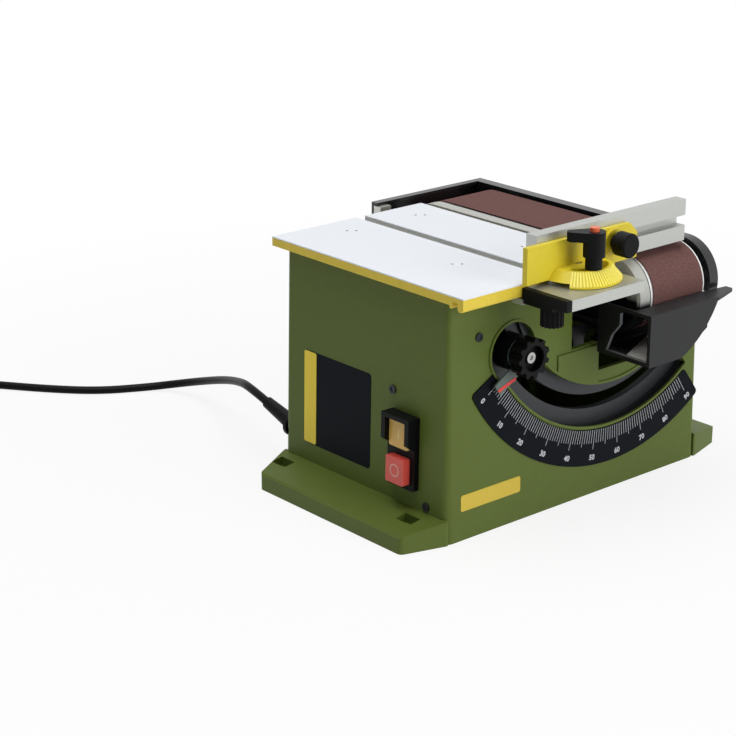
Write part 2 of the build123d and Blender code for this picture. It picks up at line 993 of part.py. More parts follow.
def swing_plate_solid(front):
    x, z = stud_place()
    floor = cheek_floor - swing_plate_height
    outline = shape(
        (x, floor),
        (right_cheek_out - swing_corner, floor),
        (right_cheek_out, floor + swing_corner),
        (right_cheek_out, cheek_floor),
        (x, cheek_floor),
    )
    outline += disc(swing_end_radius, x, z)
    middle = (x + right_cheek_out) / 2
    for number in range(swing_hole_count):
        shift = (number - (swing_hole_count - 1) / 2) * swing_hole_pitch
        outline -= disc(swing_hole_radius, middle + shift, cheek_floor - swing_plate_height / 2)
    outline -= disc(stud_radius + seat_play, x, z)
    return along_y(outline, front, front + swing_plate)


def front_swing_plate():
    return swing_plate_solid(front_swing_y)


def rear_swing_plate():
    return swing_plate_solid(rear_swing_y - swing_plate)


def guide_shoes():
    shoe = arc_band(
        guide_slot_inner + shoe_play,
        guide_slot_outer - shoe_play,
        tilt_stud_angle - shoe_half_angle,
        tilt_stud_angle + shoe_half_angle,
    )
    shoe -= disc(stud_radius + seat_play, *stud_place())
    front = along_y(shoe, hub_back, front_swing_y)
    return Compound([front, along_y(shoe, rear_swing_y, rear_guide_back)])


def clamp_hub():
    ring = disc(hub_radius, *stud_place()) - disc(stud_radius + seat_play, *stud_place())
    return along_y(ring, hub_front, hub_back)


def clamp_studs():
    """The front stud that carries the knob, and the rear shoe's pin."""
    shank = disc(stud_radius, *stud_place())
    head = disc(stud_radius * 2, *stud_place())
    plate_back_y = front_swing_y + swing_plate
    tip = knob_front + knob_recess_depth + knob_screw_height
    front = along_y(shank, tip, plate_back_y) + along_y(
        head, plate_back_y, plate_back_y + stud_radius
    )
    rear_plate = rear_swing_y - swing_plate
    rear = along_y(shank, rear_plate, rear_guide_back) + along_y(
        head, rear_plate - stud_radius, rear_plate
    )
    return Compound([front, rear])


def pointer():
    middle = polar((pointer_inner + pointer_outer) / 2, scale_zero_angle)
    tab = Rectangle(pointer_outer - pointer_inner, pointer_width)
    outline = Pos(*middle) * Rot(0, 0, scale_zero_angle) * tab
    outline += disc(pointer_ring, *stud_place())
    outline -= disc(stud_radius + seat_play, *stud_place())
    return along_y(outline, pointer_front, hub_front)


def tilt_knob():
    grip = Pos(*stud_place()) * lobed(knob_radius, knob_lobes, knob_scallop)
    split = knob_back - knob_neck_length
    body = along_y(grip, knob_front, split)
    body += along_y(disc(knob_neck_radius, *stud_place()), split, knob_back)
    recess = disc(knob_recess_radius, *stud_place())
    body -= along_y(recess, knob_front, knob_front + knob_recess_depth)
    bore = disc(stud_radius + running_play, *stud_place())
    return body - along_y(bore, knob_front, knob_back)


def tilt_knob_screw():
    floor = knob_front + knob_recess_depth
    head = along_y(disc(knob_screw_radius, *stud_place()), floor - knob_screw_height, floor)
    slot = Pos(*stud_place()) * RegularPolygon(knob_screw_socket, knob_screw_sides)
    return head - along_y(slot, floor - knob_screw_height, floor - knob_screw_height / 2)


def slide_slot(x0, x1):
    half = slide_block_height / 2 + slide_play
    return along_x(rect(slot_front, slot_back, axle_z - half, axle_z + half), x0, x1)


def left_cheek():
    web_left = left_cheek_in - cheek_web
    cheek = along_x(obround(belt_radius), left_cheek_out, left_cheek_in)
    cheek -= along_x(obround(belt_radius - cheek_rim), left_cheek_out, web_left)
    boss = disc(bearing_radius + bearing_boss_wall, rear_axle_y, axle_z)
    cheek += along_x(boss, web_left - bearing_width, left_cheek_in)
    bearing_hole = disc(bearing_radius + seat_play, rear_axle_y, axle_z)
    cheek -= along_x(bearing_hole, left_cheek_in - bearing_width, left_cheek_in)
    shaft_hole = disc(axle_radius + slide_play, rear_axle_y, axle_z)
    cheek -= along_x(shaft_hole, left_cheek_out, left_cheek_in)
    cheek -= slide_slot(web_left, left_cheek_in)
    boss_end = slot_back + tracking_boss
    half = tracking_boss_width / 2
    boss = rect(slot_back, boss_end, axle_z - half, axle_z + half)
    cheek += along_x(boss, left_cheek_in - tracking_boss_width, left_cheek_in)
    bore = disc(tracking_shank + running_play, spring_x()[0], axle_z)
    cheek -= along_y(bore, slot_back, boss_end)
    half = tracking_head_radius + tracking_window_gap
    window_end = boss_end + tracking_head_length + 2 * tracking_window_gap
    window = rect(boss_end, window_end, axle_z - half, axle_z + half)
    return cheek - along_x(window, web_left, left_cheek_in)


def right_cheek():
    outline = obround(right_cheek_radius)
    outline += rect(front_swing_y, rear_swing_y, cheek_floor, axle_z)
    outline -= disc(bearing_radius + seat_play, rear_axle_y, axle_z)
    cheek = along_x(outline, right_cheek_in, right_cheek_out)
    return cheek - slide_slot(right_cheek_in, right_cheek_out)


def arm_frame():
    top = belt_top - belt_thickness - platen_thickness
    deck = top - beam_thickness
    rib_floor = cheek_floor + belt_thickness + beam_rib_clear
    frame = left_cheek() + right_cheek()
    frame += box(left_cheek_in, right_cheek_in, beam_front, beam_back, deck, top)
    first = slot_back + tracking_boss + tracking_head_length + beam_rib_clear
    step = (beam_back - beam_rib - first) / (beam_rib_count - 1)
    for number in range(beam_rib_count):
        y = first + number * step
        frame += box(left_cheek_in, right_cheek_in, y, y + beam_rib, rib_floor, deck)
    return frame


def platen():
    return box(
        belt_left + platen_side_gap,
        belt_right - platen_side_gap,
        beam_front - platen_reach,
        beam_back + platen_reach,
        belt_top - belt_thickness - platen_thickness,
        belt_top - belt_thickness,
    )


def sanding_belt():
    return along_x(obround(belt_radius) - obround(drum_radius), belt_left, belt_right)


def drum(y):
    radius = drum_radius - belt_play
    body = along_x(disc(radius, y, axle_z), drum_left, drum_right)
    hollow = disc(radius - cheek_rim, y, axle_z) - disc(bearing_radius + cheek_rim, y, axle_z)
    body -= along_x(hollow, drum_left, drum_left + bearing_width)
    return body - along_x(hollow, drum_right - bearing_width, drum_right)


def bearing(y, x0, x1):
    ring = disc(bearing_radius, y, axle_z) - disc(axle_radius + running_play, y, axle_z)
    return along_x(ring, x0, x1)


def idler_places():
    left = drum_left + bearing_inset
    right = drum_right - bearing_inset
    return [(left, left + bearing_width), (right - bearing_width, right)]


def idler_roller():
    body = drum(front_axle_y)
    bore = disc(bearing_radius + seat_play, front_axle_y, axle_z)
    return body - along_x(bore, drum_left, drum_right)


def idler_bearings():
    return Compound([bearing(front_axle_y, x0, x1) for x0, x1 in idler_places()])


def idler_axle():
    start = left_cheek_in - cheek_web - slide_flange_width
    return along_x(disc(axle_radius, front_axle_y, axle_z), start, right_cheek_out)


def slide_blocks():
    half_y = slide_block_width / 2
    half_z = slide_block_height / 2
    face = rect(front_axle_y - half_y, front_axle_y + half_y, axle_z - half_z, axle_z + half_z)
    half_z += slide_flange
    wide = rect(front_axle_y - half_y, front_axle_y + half_y, axle_z - half_z, axle_z + half_z)
    hole = disc(axle_radius + seat_play, front_axle_y, axle_z)
    web_left = left_cheek_in - cheek_web
    left = along_x(face - hole, web_left - slide_play, left_cheek_in)
    left += along_x(wide - hole, web_left - slide_flange_width, web_left - slide_play)
    return Compound([left, along_x(face - hole, right_cheek_in, right_cheek_out)])


def drive_roller():
    bore = disc(axle_radius + seat_play, rear_axle_y, axle_z)
    return drum(rear_axle_y) - along_x(bore, drum_left, drum_right)


def drive_shaft():
    return along_x(disc(axle_radius, rear_axle_y, axle_z), pulley_left, right_cheek_out)


def drive_bearings():
    left = bearing(rear_axle_y, left_cheek_in - bearing_width, left_cheek_in)
    return Compound([left, bearing(rear_axle_y, right_cheek_in, right_cheek_out)])


def drive_pulley():
    ring = disc(drive_pulley_radius, rear_axle_y, axle_z)
    ring -= disc(axle_radius + seat_play, rear_axle_y, axle_z)
    return along_x(ring, pulley_left, pulley_right)


def motor_pulley():
    ring = disc(motor_pulley_radius, motor_y, motor_z)
    ring -= disc(motor_shaft_radius + seat_play, motor_y, motor_z)
    return along_x(ring, pulley_left, pulley_right)


def belt_outline(extra):
    """The drive belt's outline round both pulleys, this far outside them."""
    big = disc(drive_pulley_radius + extra, rear_axle_y, axle_z)
    small = disc(motor_pulley_radius + extra, motor_y, motor_z)
    return make_hull(big.edges() + small.edges())


def drive_belt():
    band = belt_outline(belt_play + drive_belt_thickness) - belt_outline(belt_play)
    middle = (pulley_left + pulley_right) / 2
    return along_x(band, middle - drive_belt_width / 2, middle + drive_belt_width / 2)


def drive_cover():
    inner = drive_pulley_radius + belt_play + drive_belt_thickness + drive_cover_gap
    outer = inner + drive_cover_wall
    left = pulley_left - drive_cover_gap - drive_cover_wall
    cover = along_x(disc(outer, rear_axle_y, axle_z), left, left_cheek_out)
    cover -= along_x(disc(inner, rear_axle_y, axle_z), left + drive_cover_wall, left_cheek_out)
    passage = belt_outline(belt_play + drive_belt_thickness + drive_cover_gap)
    cover -= along_x(passage, left + drive_cover_wall, left_cheek_out)
    return cover - box(
        left,
        left_cheek_out,
        rear_axle_y - 2 * outer,
        rear_swing_y + drive_cover_wall,
        axle_z - outer,
        axle_z + outer,
    )


def motor_can():
    wall = disc(motor_radius, motor_y, motor_z)
    wall -= disc(motor_radius - motor_wall, motor_y, motor_z)
    return along_x(wall, motor_left + motor_end_bell, bracket_left - motor_end_bell)


def end_bell(x0, x1):
    face = disc(motor_radius, motor_y, motor_z)
    face -= disc(motor_shaft_radius + running_play, motor_y, motor_z)
    for number in range(motor_vent_count):
        turn = 2 * math.pi * number / motor_vent_count
        y = motor_y + motor_vent_ring * math.cos(turn)
        z = motor_z + motor_vent_ring * math.sin(turn)
        face -= disc(motor_vent_radius, y, z)
    return along_x(face, x0, x1)


def motor_end_bells():
    rear = end_bell(motor_left, motor_left + motor_end_bell)
    front = end_bell(bracket_left - motor_end_bell, bracket_left)
    nose = disc(motor_nose_radius, motor_y, motor_z)
    nose -= disc(motor_shaft_radius + running_play, motor_y, motor_z)
    front += along_x(nose, bracket_left, bracket_left + motor_nose_length)
    return Compound([rear, front])


def motor_rotor():
    left = motor_left + motor_end_bell + fan_width + 2 * armature_gap
    right = bracket_left - motor_end_bell - armature_gap
    rotor = along_x(disc(armature_radius, motor_y, motor_z), left, right)
    shaft = disc(motor_shaft_radius, motor_y, motor_z)
    rotor += along_x(shaft, motor_left, pulley_right)
    hub = disc(motor_shaft_radius + cheek_rim, motor_y, motor_z)
    for number in range(fan_blades):
        turn = 360 * number / fan_blades
        blade = Pos(fan_radius / 2, 0) * Rectangle(fan_radius, fan_blade)
        hub += Pos(motor_y, motor_z) * Rot(0, 0, turn) * blade
    fan_left = left - fan_width - armature_gap
    return rotor + along_x(hub, fan_left, fan_left + fan_width)


def motor_bracket():
    middle = cheek_floor - swing_plate_height / 2
    half = bracket_height / 2
    front = front_swing_y + swing_plate
    back = rear_swing_y - swing_plate
    outline = rect(front, back, middle - half, middle + half)
    outline += disc(motor_radius + bracket_ring, motor_y, motor_z)
    outline -= disc(motor_nose_radius + seat_play, motor_y, motor_z)
    return along_x(outline, bracket_left, bracket_right)


def belt_guard():
    field = rect(front_axle_y - guard_radius, guard_back, guard_floor, guard_top)
    outline = disc(guard_radius, front_axle_y, axle_z) & field
    outline += rect(front_axle_y, guard_back, guard_floor, guard_top)
    side = along_x(outline, guard_in, guard_out)
    hollow = disc(guard_radius - guard_wall, front_axle_y, axle_z) & field
    hollow += rect(front_axle_y, guard_back - guard_wall, guard_floor, guard_top - guard_wall)
    side -= along_x(hollow, guard_in + guard_wall, guard_out - guard_wall)
    left = pivot_x - guard_left_reach
    wall_front = guard_back - guard_wall
    rim_front = guard_back - guard_back_depth
    side += box(left, guard_in, wall_front, guard_back, guard_floor, guard_top)
    side += box(left, guard_in, rim_front, guard_back, guard_top - guard_wall, guard_top)
    return side


def guard_end_block():
    left = pivot_x - guard_left_reach
    top = guard_top - guard_wall
    rim_front = guard_back - guard_back_depth
    return box(
        left,
        left + guard_block_width,
        rim_front - guard_block_depth,
        guard_back - guard_wall,
        top - guard_block_height,
        top,
    )


def hood_outline(wall):
    """The hood's front panel, drawn in X and Z, less a wall's thickness."""
    left = pivot_x - hood_left_offset + wall
    right = pivot_x + hood_right_offset - wall
    floor = pivot_z - hood_bottom_drop + wall
    top = pivot_z - hood_top_drop
    bulge = (pivot_x + hood_bulge_offset - wall, pivot_z - hood_bulge_drop + wall)
    edges = [
        Line((left, top), (left, floor)),
        Line((left, floor), (pivot_x + hood_corner_offset, floor)),
        ThreePointArc((pivot_x + hood_corner_offset, floor), bulge, (right, top)),
        Line((right, top), (left, top)),
    ]
    return make_face(edges)


def hood_trough(wall):
    """The hood behind its front panel, passing under the whole drum."""
    left = pivot_x - hood_left_offset + wall
    right = guard_in - seat_play - wall
    floor = pivot_z - hood_bottom_drop + wall
    return shape(
        (left, pivot_z - hood_top_drop),
        (left, floor),
        (pivot_x + hood_trough_corner, floor),
        (right, pivot_z - hood_side_drop + wall),
        (right, pivot_z - hood_top_drop),
    )


def dust_hood():
    front = housing_front - hood_reach
    back = housing_front - hood_back_gap
    lip = front + hood_panel_depth
    top = pivot_z - hood_top_drop
    left = pivot_x - hood_left_offset
    hood = along_y(hood_outline(0), front, lip) + along_y(hood_trough(0), lip, back)
    passage = hood_outline(hood_wall) & hood_trough(hood_wall)
    hood -= along_y(hood_outline(hood_wall), front + hood_wall, lip)
    hood -= along_y(passage, lip - hood_wall, lip + hood_wall)
    hood -= along_y(hood_trough(hood_wall), lip + hood_wall, back)
    hood -= box(
        pivot_x + hood_bulge_offset,
        guard_in,
        lip,
        back,
        cheek_floor - hood_drum_gap,
        top,
    )
    tip = pivot_x + hood_flange_tip
    flange_plan = shape(
        (left, front),
        (pivot_x + hood_right_offset, front),
        (tip, front + hood_flange_tip_depth),
        (tip, front + hood_flange_depth - hood_wall),
        (pivot_x + hood_right_offset, front + hood_flange_depth),
        (left, front + hood_flange_depth),
    )
    hood += along_z(flange_plan, top - hood_wall, top)
    floor = pivot_z - hood_bottom_drop
    notch = shape(
        (front + hood_wall, top - hood_wall),
        (front + hood_wall, floor + hood_sill),
        (front + hood_notch_run_sill, floor + hood_sill),
        (front + hood_notch_run_low, top - hood_notch_drop_low),
        (front + hood_notch_run_mid, top - hood_notch_drop_mid),
        (front + hood_notch_run_mid, top - hood_notch_drop_high),
        (front + hood_notch_run_high, top - hood_wall),
    )
    hood -= along_x(notch, left, left + hood_wall)
    tongue_left = left + hood_tongue_inset
    hood += box(
        tongue_left,
        tongue_left + hood_tongue_width,
        back,
        front_swing_y,
        floor + hood_tongue_rise,
        floor + hood_tongue_rise + hood_wall,
    )
    return hood


def spring_x():
    """Centres of the two tension springs, in the webs of the cheeks."""
    return (left_cheek_in - cheek_web / 2, right_cheek_in + cheek_web / 2)


def biarc_path(points, tangents):
    """A smooth path through points with given directions, as pairs of arcs."""
    edges = []
    for start, end, leave, arrive in zip(points, points[1:], tangents, tangents[1:]):
        chord = end - start
        both = leave + arrive
        spread = 2 * (1 - leave.dot(arrive))
        along = chord.dot(both)
        reach = (math.sqrt(along * along + spread * chord.dot(chord)) - along) / spread
        joint = (start + end + (leave - arrive) * reach) / 2
        middle = ((end - arrive * reach) - (start + leave * reach)).normalized()
        edges.append(TangentArc(start, joint, tangent=leave))
        edges.append(TangentArc(joint, end, tangent=middle))
    return edges


def tube(edges, start, direction, diameter):
    profile = Plane(origin=start, z_dir=direction) * Circle(diameter / 2)
    return sweep(profile, path=Wire(edges))


def spring_place(x, turns):
    """Centre line and heading of a tension spring after this many turns."""
    length = spring_length - spring_wire
    turn = 2 * math.pi * turns
    y = front_axle_y + (slide_block_width + spring_wire) / 2 + length * turns / spring_turns
    across = spring_radius * math.cos(turn)
    up = spring_radius * math.sin(turn)
    rise = length / (2 * math.pi * spring_turns)
    return Vector(x + across, y, axle_z + up), Vector(-up, rise, across).normalized()


def tension_springs():
    springs = []
    for x in spring_x():
        stations = [spring_place(x, number / 4) for number in range(4 * spring_turns + 1)]
        points = [place for place, heading in stations]
        headings = [heading for place, heading in stations]
        path = biarc_path(points, headings)
        springs.append(tube(path, points[0], headings[0], spring_wire))
    return Compound(springs)


def tracking_screw():
    x = spring_x()[0]
    boss_end = slot_back + tracking_boss
    shank = along_y(disc(tracking_shank, x, axle_z), slot_back, boss_end + tracking_window_gap)
    start = boss_end + tracking_window_gap
    head = along_y(disc(tracking_head_radius, x, axle_z), start, start + tracking_head_length)
    return shank + head


def gauge_plate():
    plate = box(plate_left, plate_right, plate_front, plate_back, plate_bottom, plate_top)
    floor = plate_top - pivot_pin_depth - slide_play
    pin = Pos(head_x, head_y) * Circle(pivot_pin_radius + running_play)
    plate -= along_z(pin, floor, plate_top)
    stud = Pos(lever_x, lever_y) * Circle(clamp_stud_radius + running_play)
    return plate - along_z(stud, floor, plate_top)


def rail_knob_place():
    return Pos(plate_left + rail_knob_inset_x, plate_front + rail_knob_inset_y)


def rail_clamp():
    left = plate_left - clamp_side
    right = plate_left + clamp_slab_reach
    slab_left = left + clamp_slab_inset
    slab_front = plate_front + rail_knob_inset_y - rail_knob_radius - clamp_slab_margin
    clamp = box(left, plate_left, plate_front, plate_back, plate_bottom, plate_top)
    clamp += box(slab_left, right, slab_front, plate_back, slab_bottom, plate_bottom)
    hole = rail_knob_place() * Circle(rail_stud_radius + running_play)
    return clamp - along_z(hole, slab_bottom, slab_bottom + rail_stud_length + slide_play)


def rail_jaw():
    right = plate_left + clamp_slab_reach
    top = table_top - rail_height - jaw_drop
    hook_front = table_front + rail_lip + jaw_hook_play
    hook_back = hook_front + rail_groove - 2 * jaw_hook_play
    hook_top = top + jaw_drop + rail_groove_depth - jaw_hook_play
    outline = rect(plate_back, hook_back, top - jaw_thickness, top)
    outline += rect(hook_front, hook_back, top, hook_top)
    return along_x(outline, right - jaw_width, right)


def rail_knob():
    top = slab_bottom - front_gap
    grip = rail_knob_place() * lobed(rail_knob_radius, rail_knob_lobes, rail_knob_scallop)
    stud = rail_knob_place() * Circle(rail_stud_radius)
    knob = along_z(grip, top - rail_knob_height, top)
    return knob + along_z(stud, top, slab_bottom + rail_stud_length)


def mitre_studs():
    floor = plate_top - pivot_pin_depth
    pin = along_z(Pos(head_x, head_y) * Circle(pivot_pin_radius), floor, head_top)
    stud = Pos(lever_x, lever_y) * Circle(clamp_stud_radius)
    return Compound([pin, along_z(stud, floor, plate_top + clamp_stud_height)])


def head_sector():
    """The head's lower part, clear of the table's edge at both ends of its turn."""
    reach = head_radius
    corners = [(0, 0)]
    for angle in (head_low_start, (head_low_start + head_low_end) / 2, head_low_end):
        turn = math.radians(angle)
        corners.append((2 * reach * math.cos(turn), 2 * reach * math.sin(turn)))
    return (shape(*corners) & Circle(reach)) + Circle(2 * pivot_pin_radius)


def head_slot():
    """The protractor's arc slot for the clamp stud."""
    angles = [math.radians(-90 + side * head_slot_angle) for side in (-1, 0, 1)]
    points = [(head_slot_radius * math.cos(a), head_slot_radius * math.sin(a)) for a in angles]
    ring = Circle(head_slot_radius + head_slot_half) - Circle(head_slot_radius - head_slot_half)
    wedge = shape((0, 0), *[(2 * x, 2 * y) for x, y in points])
    return (ring & wedge) + disc(head_slot_half, *points[0]) + disc(head_slot_half, *points[-1])


def mitre_head():
    at_head = Pos(head_x, head_y)
    bevel = head_bottom + head_bevel_start
    cone = Cone(head_radius, head_bevel_radius, head_top - bevel)
    dial = along_z(at_head * Circle(head_radius), head_bottom, bevel)
    dial += Pos(head_x, head_y, (bevel + head_top) / 2) * cone
    head = dial & along_z(at_head * head_sector(), head_bottom, wall_bottom)
    head += dial & box(
        head_x - head_radius,
        head_x + head_radius,
        head_y - head_radius,
        head_y + head_wall,
        wall_bottom,
        head_top,
    )
    head -= along_z(at_head * head_slot(), head_bottom, head_top)
    wall_top = wall_bottom + head_wall_height
    wall_right = head_x + head_wall_right
    wall = shape(
        (head_x - head_wall_left, wall_bottom),
        (wall_right, wall_bottom),
        (wall_right, wall_top - head_wall_corner),
        (wall_right - head_wall_corner, wall_top),
        (head_x - head_wall_left, wall_top),
    )
    head += along_y(wall, head_y, head_y + head_wall)
    boss = disc(head_boss_radius, boss_x, boss_z)
    head += along_y(boss, head_y - head_boss_length, head_y)
    pin = at_head * Circle(pivot_pin_radius + running_play)
    head -= along_z(pin, head_bottom, head_top + head_gap)
    bore = disc(fence_stud_radius + running_play, boss_x, boss_z)
    return head - along_y(bore, head_y - head_boss_length, head_y + head_wall)


def fence_nut():
    half_x = fence_nut_length / 2
    half_z = fence_groove_height / 2 - fence_nut_play
    outline = rect(boss_x - half_x, boss_x + half_x, boss_z - half_z, boss_z + half_z)
    outline -= disc(fence_stud_radius + running_play, boss_x, boss_z)
    back = head_y + head_wall
    return along_y(outline, back, back + fence_nut_depth)


def fence():
    groove_half = fence_groove_height / 2
    profile = rect(
        fence_front, fence_front + fence_depth, fence_bottom, fence_bottom + fence_height
    )
    profile -= rect(
        fence_front,
        fence_front + fence_groove_depth,
        boss_z - groove_half,
        boss_z + groove_half,
    )
    return along_x(profile, fence_left, fence_right)


def fence_knob():
    back = head_y - head_boss_length - front_gap
    split = back - fence_knob_neck_length
    front = back - fence_knob_length
    knob = along_y(disc(fence_knob_radius, boss_x, boss_z), front, split)
    knob = chamfer(knob.edges(), fence_knob_edge)
    knob += along_y(disc(fence_knob_neck, boss_x, boss_z), split, back)
    stud = disc(fence_stud_radius, boss_x, boss_z)
    return knob + along_y(stud, back, head_y + head_wall + fence_nut_depth)


def clamp_lever():
    at_hub = Pos(lever_x, lever_y)
    neck_top = lever_bottom + lever_neck_length
    lever = along_z(at_hub * Circle(lever_neck_radius), lever_bottom, neck_top)
    lever += along_z(at_hub * Circle(lever_hub_radius), neck_top, lever_top)
    tip = disc(lever_arm_width / 2, lever_arm_length - lever_arm_width / 2, 0)
    paddle = Rot(0, 0, lever_arm_angle) * make_hull(Circle(lever_hub_radius).edges() + tip.edges())
    lever += along_z(at_hub * paddle, lever_top - lever_arm_height, lever_top)
    bore = at_hub * Circle(clamp_stud_radius + running_play)
    lever -= along_z(bore, lever_bottom, plate_top + clamp_stud_height + slide_play)
    well = at_hub * Circle(lever_button_radius + lever_button_play)
    well_depth = lever_button_depth + lever_button_travel + lever_button_play
    return lever - along_z(well, lever_top - well_depth, lever_top)


def lever_button():
    button_disc = Pos(lever_x, lever_y) * Circle(lever_button_radius)
    return along_z(button_disc, lever_top - lever_button_depth, lever_top + lever_button_height)


def coil_inner_radius():
    return coil_outer_radius - coil_pitch * coil_turns_in


def coil_place(angle):
    """Centre line and heading of the coiled cord at a total angle in degrees."""
    drift = coil_pitch / (2 * math.pi)
    climb_start = coil_entry_angle + 360 * coil_turns_in
    climb_end = climb_start + 180
    inner = coil_inner_radius()
    radius = coil_outer_radius - coil_pitch * (angle - coil_entry_angle) / 360
    slide = -drift
    height = coil_lift
    rise = 0
    if angle >= climb_end:
        radius = inner + coil_pitch * (angle - climb_end) / 360
        slide = drift
        height = coil_lift + coil_layer
    elif angle > climb_start:
        share = (angle - climb_start) / 180
        radius = inner - coil_pitch / 4 * math.sin(math.pi * share)
        slide = drift * (2 * share - 1)
        height = coil_lift + coil_layer * share * share * (3 - 2 * share)
        rise = coil_layer * 6 * share * (1 - share) / math.pi
    turn = math.radians(angle)
    out = Vector(math.cos(turn), math.sin(turn), 0)
    side = Vector(-math.sin(turn), math.cos(turn), 0)
    place = Vector(coil_center[0], coil_center[1], height) + out * radius
    return place, (out * slide + side * radius + Vector(0, 0, rise)).normalized()


def coil_angles():
    climb_end = coil_entry_angle + 360 * coil_turns_in + 180
    quarters = round(4 * coil_turns_in) + 2
    angles = [coil_entry_angle + 90 * number for number in range(quarters + 1)]
    total = coil_end_angle + 360 * coil_end_turn - climb_end
    steps = math.ceil(total / 90)
    return angles + [climb_end + total * (number + 1) / steps for number in range(steps)]


def coil_entry():
    """Where the coil's straight first end starts, and its heading."""
    place, heading = coil_place(coil_entry_angle)
    return place - heading * cord_diameter, heading


def coil_exit():
    """Where the coil's straight last end stops, and its heading."""
    place, heading = coil_place(coil_angles()[-1])
    return place + heading * cord_diameter, heading


def cord_coil():
    stations = [coil_place(angle) for angle in coil_angles()]
    points = [place for place, heading in stations]
    headings = [heading for place, heading in stations]
    start, leave = coil_entry()
    end, arrive = coil_exit()
    path = [Line(start, points[0])] + biarc_path(points, headings) + [Line(points[-1], end)]
    return tube(path, start, leave, cord_diameter)


def cord_corners():
    start, heading = coil_entry()
    last = start - heading * cord_last_run
    first = gland_end() + gland_axis().z_dir * cord_first_run
    return [gland_end(), first, *[Vector(*point) for point in cord_points], last, start]


def cord_radii():
    """The largest even bend at each corner of the cord's path."""
    corners = cord_corners()
    radii = []
    for before, corner, after in zip(corners, corners[1:], corners[2:]):
        arrive = corner - before
        leave = after - corner
        half_turn = math.radians(arrive.get_angle(leave)) / 2
        radii.append(cord_corner_share * min(arrive.length, leave.length) / math.tan(half_turn))
    return radii


def cord_path():
    return FilletPolyline(*cord_corners(), radius=cord_radii())


def cord():
    corners = cord_corners()
    profile = Plane(origin=corners[0], z_dir=corners[1] - corners[0]) * Circle(cord_diameter / 2)
    return sweep(profile, path=cord_path())


def cord_tie():
    """A band round the coiled cord, drawn in radius and height."""
    half = cord_diameter / 2
    inner = coil_inner_radius() - half - tie_slack
    outer = coil_place(coil_angles()[-1])[0].X
    outer = coil_center[0] - outer + half + tie_gap
    floor = coil_lift - half - tie_gap
    top = coil_lift + coil_layer + half + tie_gap
    grow = tie_thickness
    band = rect(inner - grow, outer + grow, floor - grow, top + grow)
    band -= rect(inner, outer, floor, top)
    turn = math.radians(tie_angle)
    plane = Plane(
        origin=(coil_center[0], coil_center[1], 0),
        x_dir=(math.cos(turn), math.sin(turn), 0),
        z_dir=(math.sin(turn), -math.cos(turn), 0),
    )
    return plane * extrude(band, tie_width / 2, both=True)


def plug():
    start, heading = coil_exit()
    level = start.Z
    plane = Plane(origin=start, x_dir=Vector(0, 0, 1).cross(heading), z_dir=heading)
    neck = Cone(
        plug_neck_tip,
        plug_neck_radius,
        plug_neck_length,
        align=(Align.CENTER, Align.CENTER, Align.MIN),
    )
    outline = RectangleRounded(plug_width, 2 * level, plug_neck_radius)
    body = neck + Pos(0, 0, plug_neck_length) * extrude(outline, plug_length)
    for side in (-1, 1):
        pin = Pos(side * plug_pin_spacing / 2, 0) * Circle(plug_pin_radius)
        body += Pos(0, 0, plug_neck_length + plug_length) * extrude(pin, plug_pin_length)
    return plane * body


def least_gap(places, wire, skip):
    """The smallest space between turns of a wound wire, past neighbours within skip."""
    gaps = []
    for number, place in enumerate(places):
        for other in places[number + skip :]:
            gaps.append((other - place).length - wire)
    return min(gaps)


def coil_samples():
    """Points along the coil, evenly by angle."""
    step = 360 / samples_per_turn
    count = int((coil_angles()[-1] - coil_entry_angle) / step)
    return [coil_place(coil_entry_angle + step * number)[0] for number in range(count + 1)]


def spring_samples():
    """Points along one tension spring, evenly by angle."""
    count = samples_per_turn * spring_turns
    return [spring_place(0, number / samples_per_turn)[0] for number in range(count + 1)]


def wound_length(places):
    return sum((after - before).length for before, after in zip(places, places[1:]))


nodes = (
    housing,
    bottom_plate,
    table,
    table_sheet_plate,
    table_bearers,
    table_screws,
    scale_plate,
    front_guide,
    rear_guide,
    housing_screws,
    switch_frame,
    on_button,
    off_button,
    cord_gland,
    cord,
    cord_coil,
    cord_tie,
    plug,
    arm_frame,
    platen,
    sanding_belt,
    belt_guard,
    guard_end_block,
    dust_hood,
    front_swing_plate,
    rear_swing_plate,
    guide_shoes,
    clamp_studs,
    clamp_hub,
    pointer,
    drive_bearings,
    drive_roller,
    drive_shaft,
    drive_pulley,
    drive_belt,
    drive_cover,
    motor_can,
    motor_end_bells,
    motor_bracket,
    motor_rotor,
    motor_pulley,
    idler_roller,
    idler_bearings,
    idler_axle,
    slide_blocks,
    tension_springs,
    tracking_screw,
    tilt_knob,
    tilt_knob_screw,
    gauge_plate,
    rail_clamp,
    rail_jaw,
    rail_knob,
    mitre_studs,
    mitre_head,
    fence_nut,
    fence,
    fence_knob,
    clamp_lever,
    lever_button,
)

os.makedirs("parts", exist_ok=True)
for make in nodes:
    export_step(make(), f"parts/{make.__name__}.step")

print("cord bends", [round(radius, 1) for radius in cord_radii()])
print("cord length", round(cord_path().length))
print("coil length", round(wound_length(coil_samples())))
print("coil least gap", round(least_gap(coil_samples(), cord_diameter, samples_per_turn // 4), 2))
print("spring least gap", round(least_gap(spring_samples(), spring_wire, samples_per_turn // 2), 2))
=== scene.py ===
# %% [markdown]
# # A bench belt sander, dressed for its portrait
# The machine stands on a bench: a green moulded housing, a white table with yellow edges, a sanding
# belt that tilts up on an arc scale, and a mitre gauge that rides on the table's front rail. Its
# solids come from the CAD frame. Here they get their surfaces, printing and the cord, one cell each.

# %% Load the frame
import json
import math

import bmesh
import bpy
from mathutils import Matrix, Vector


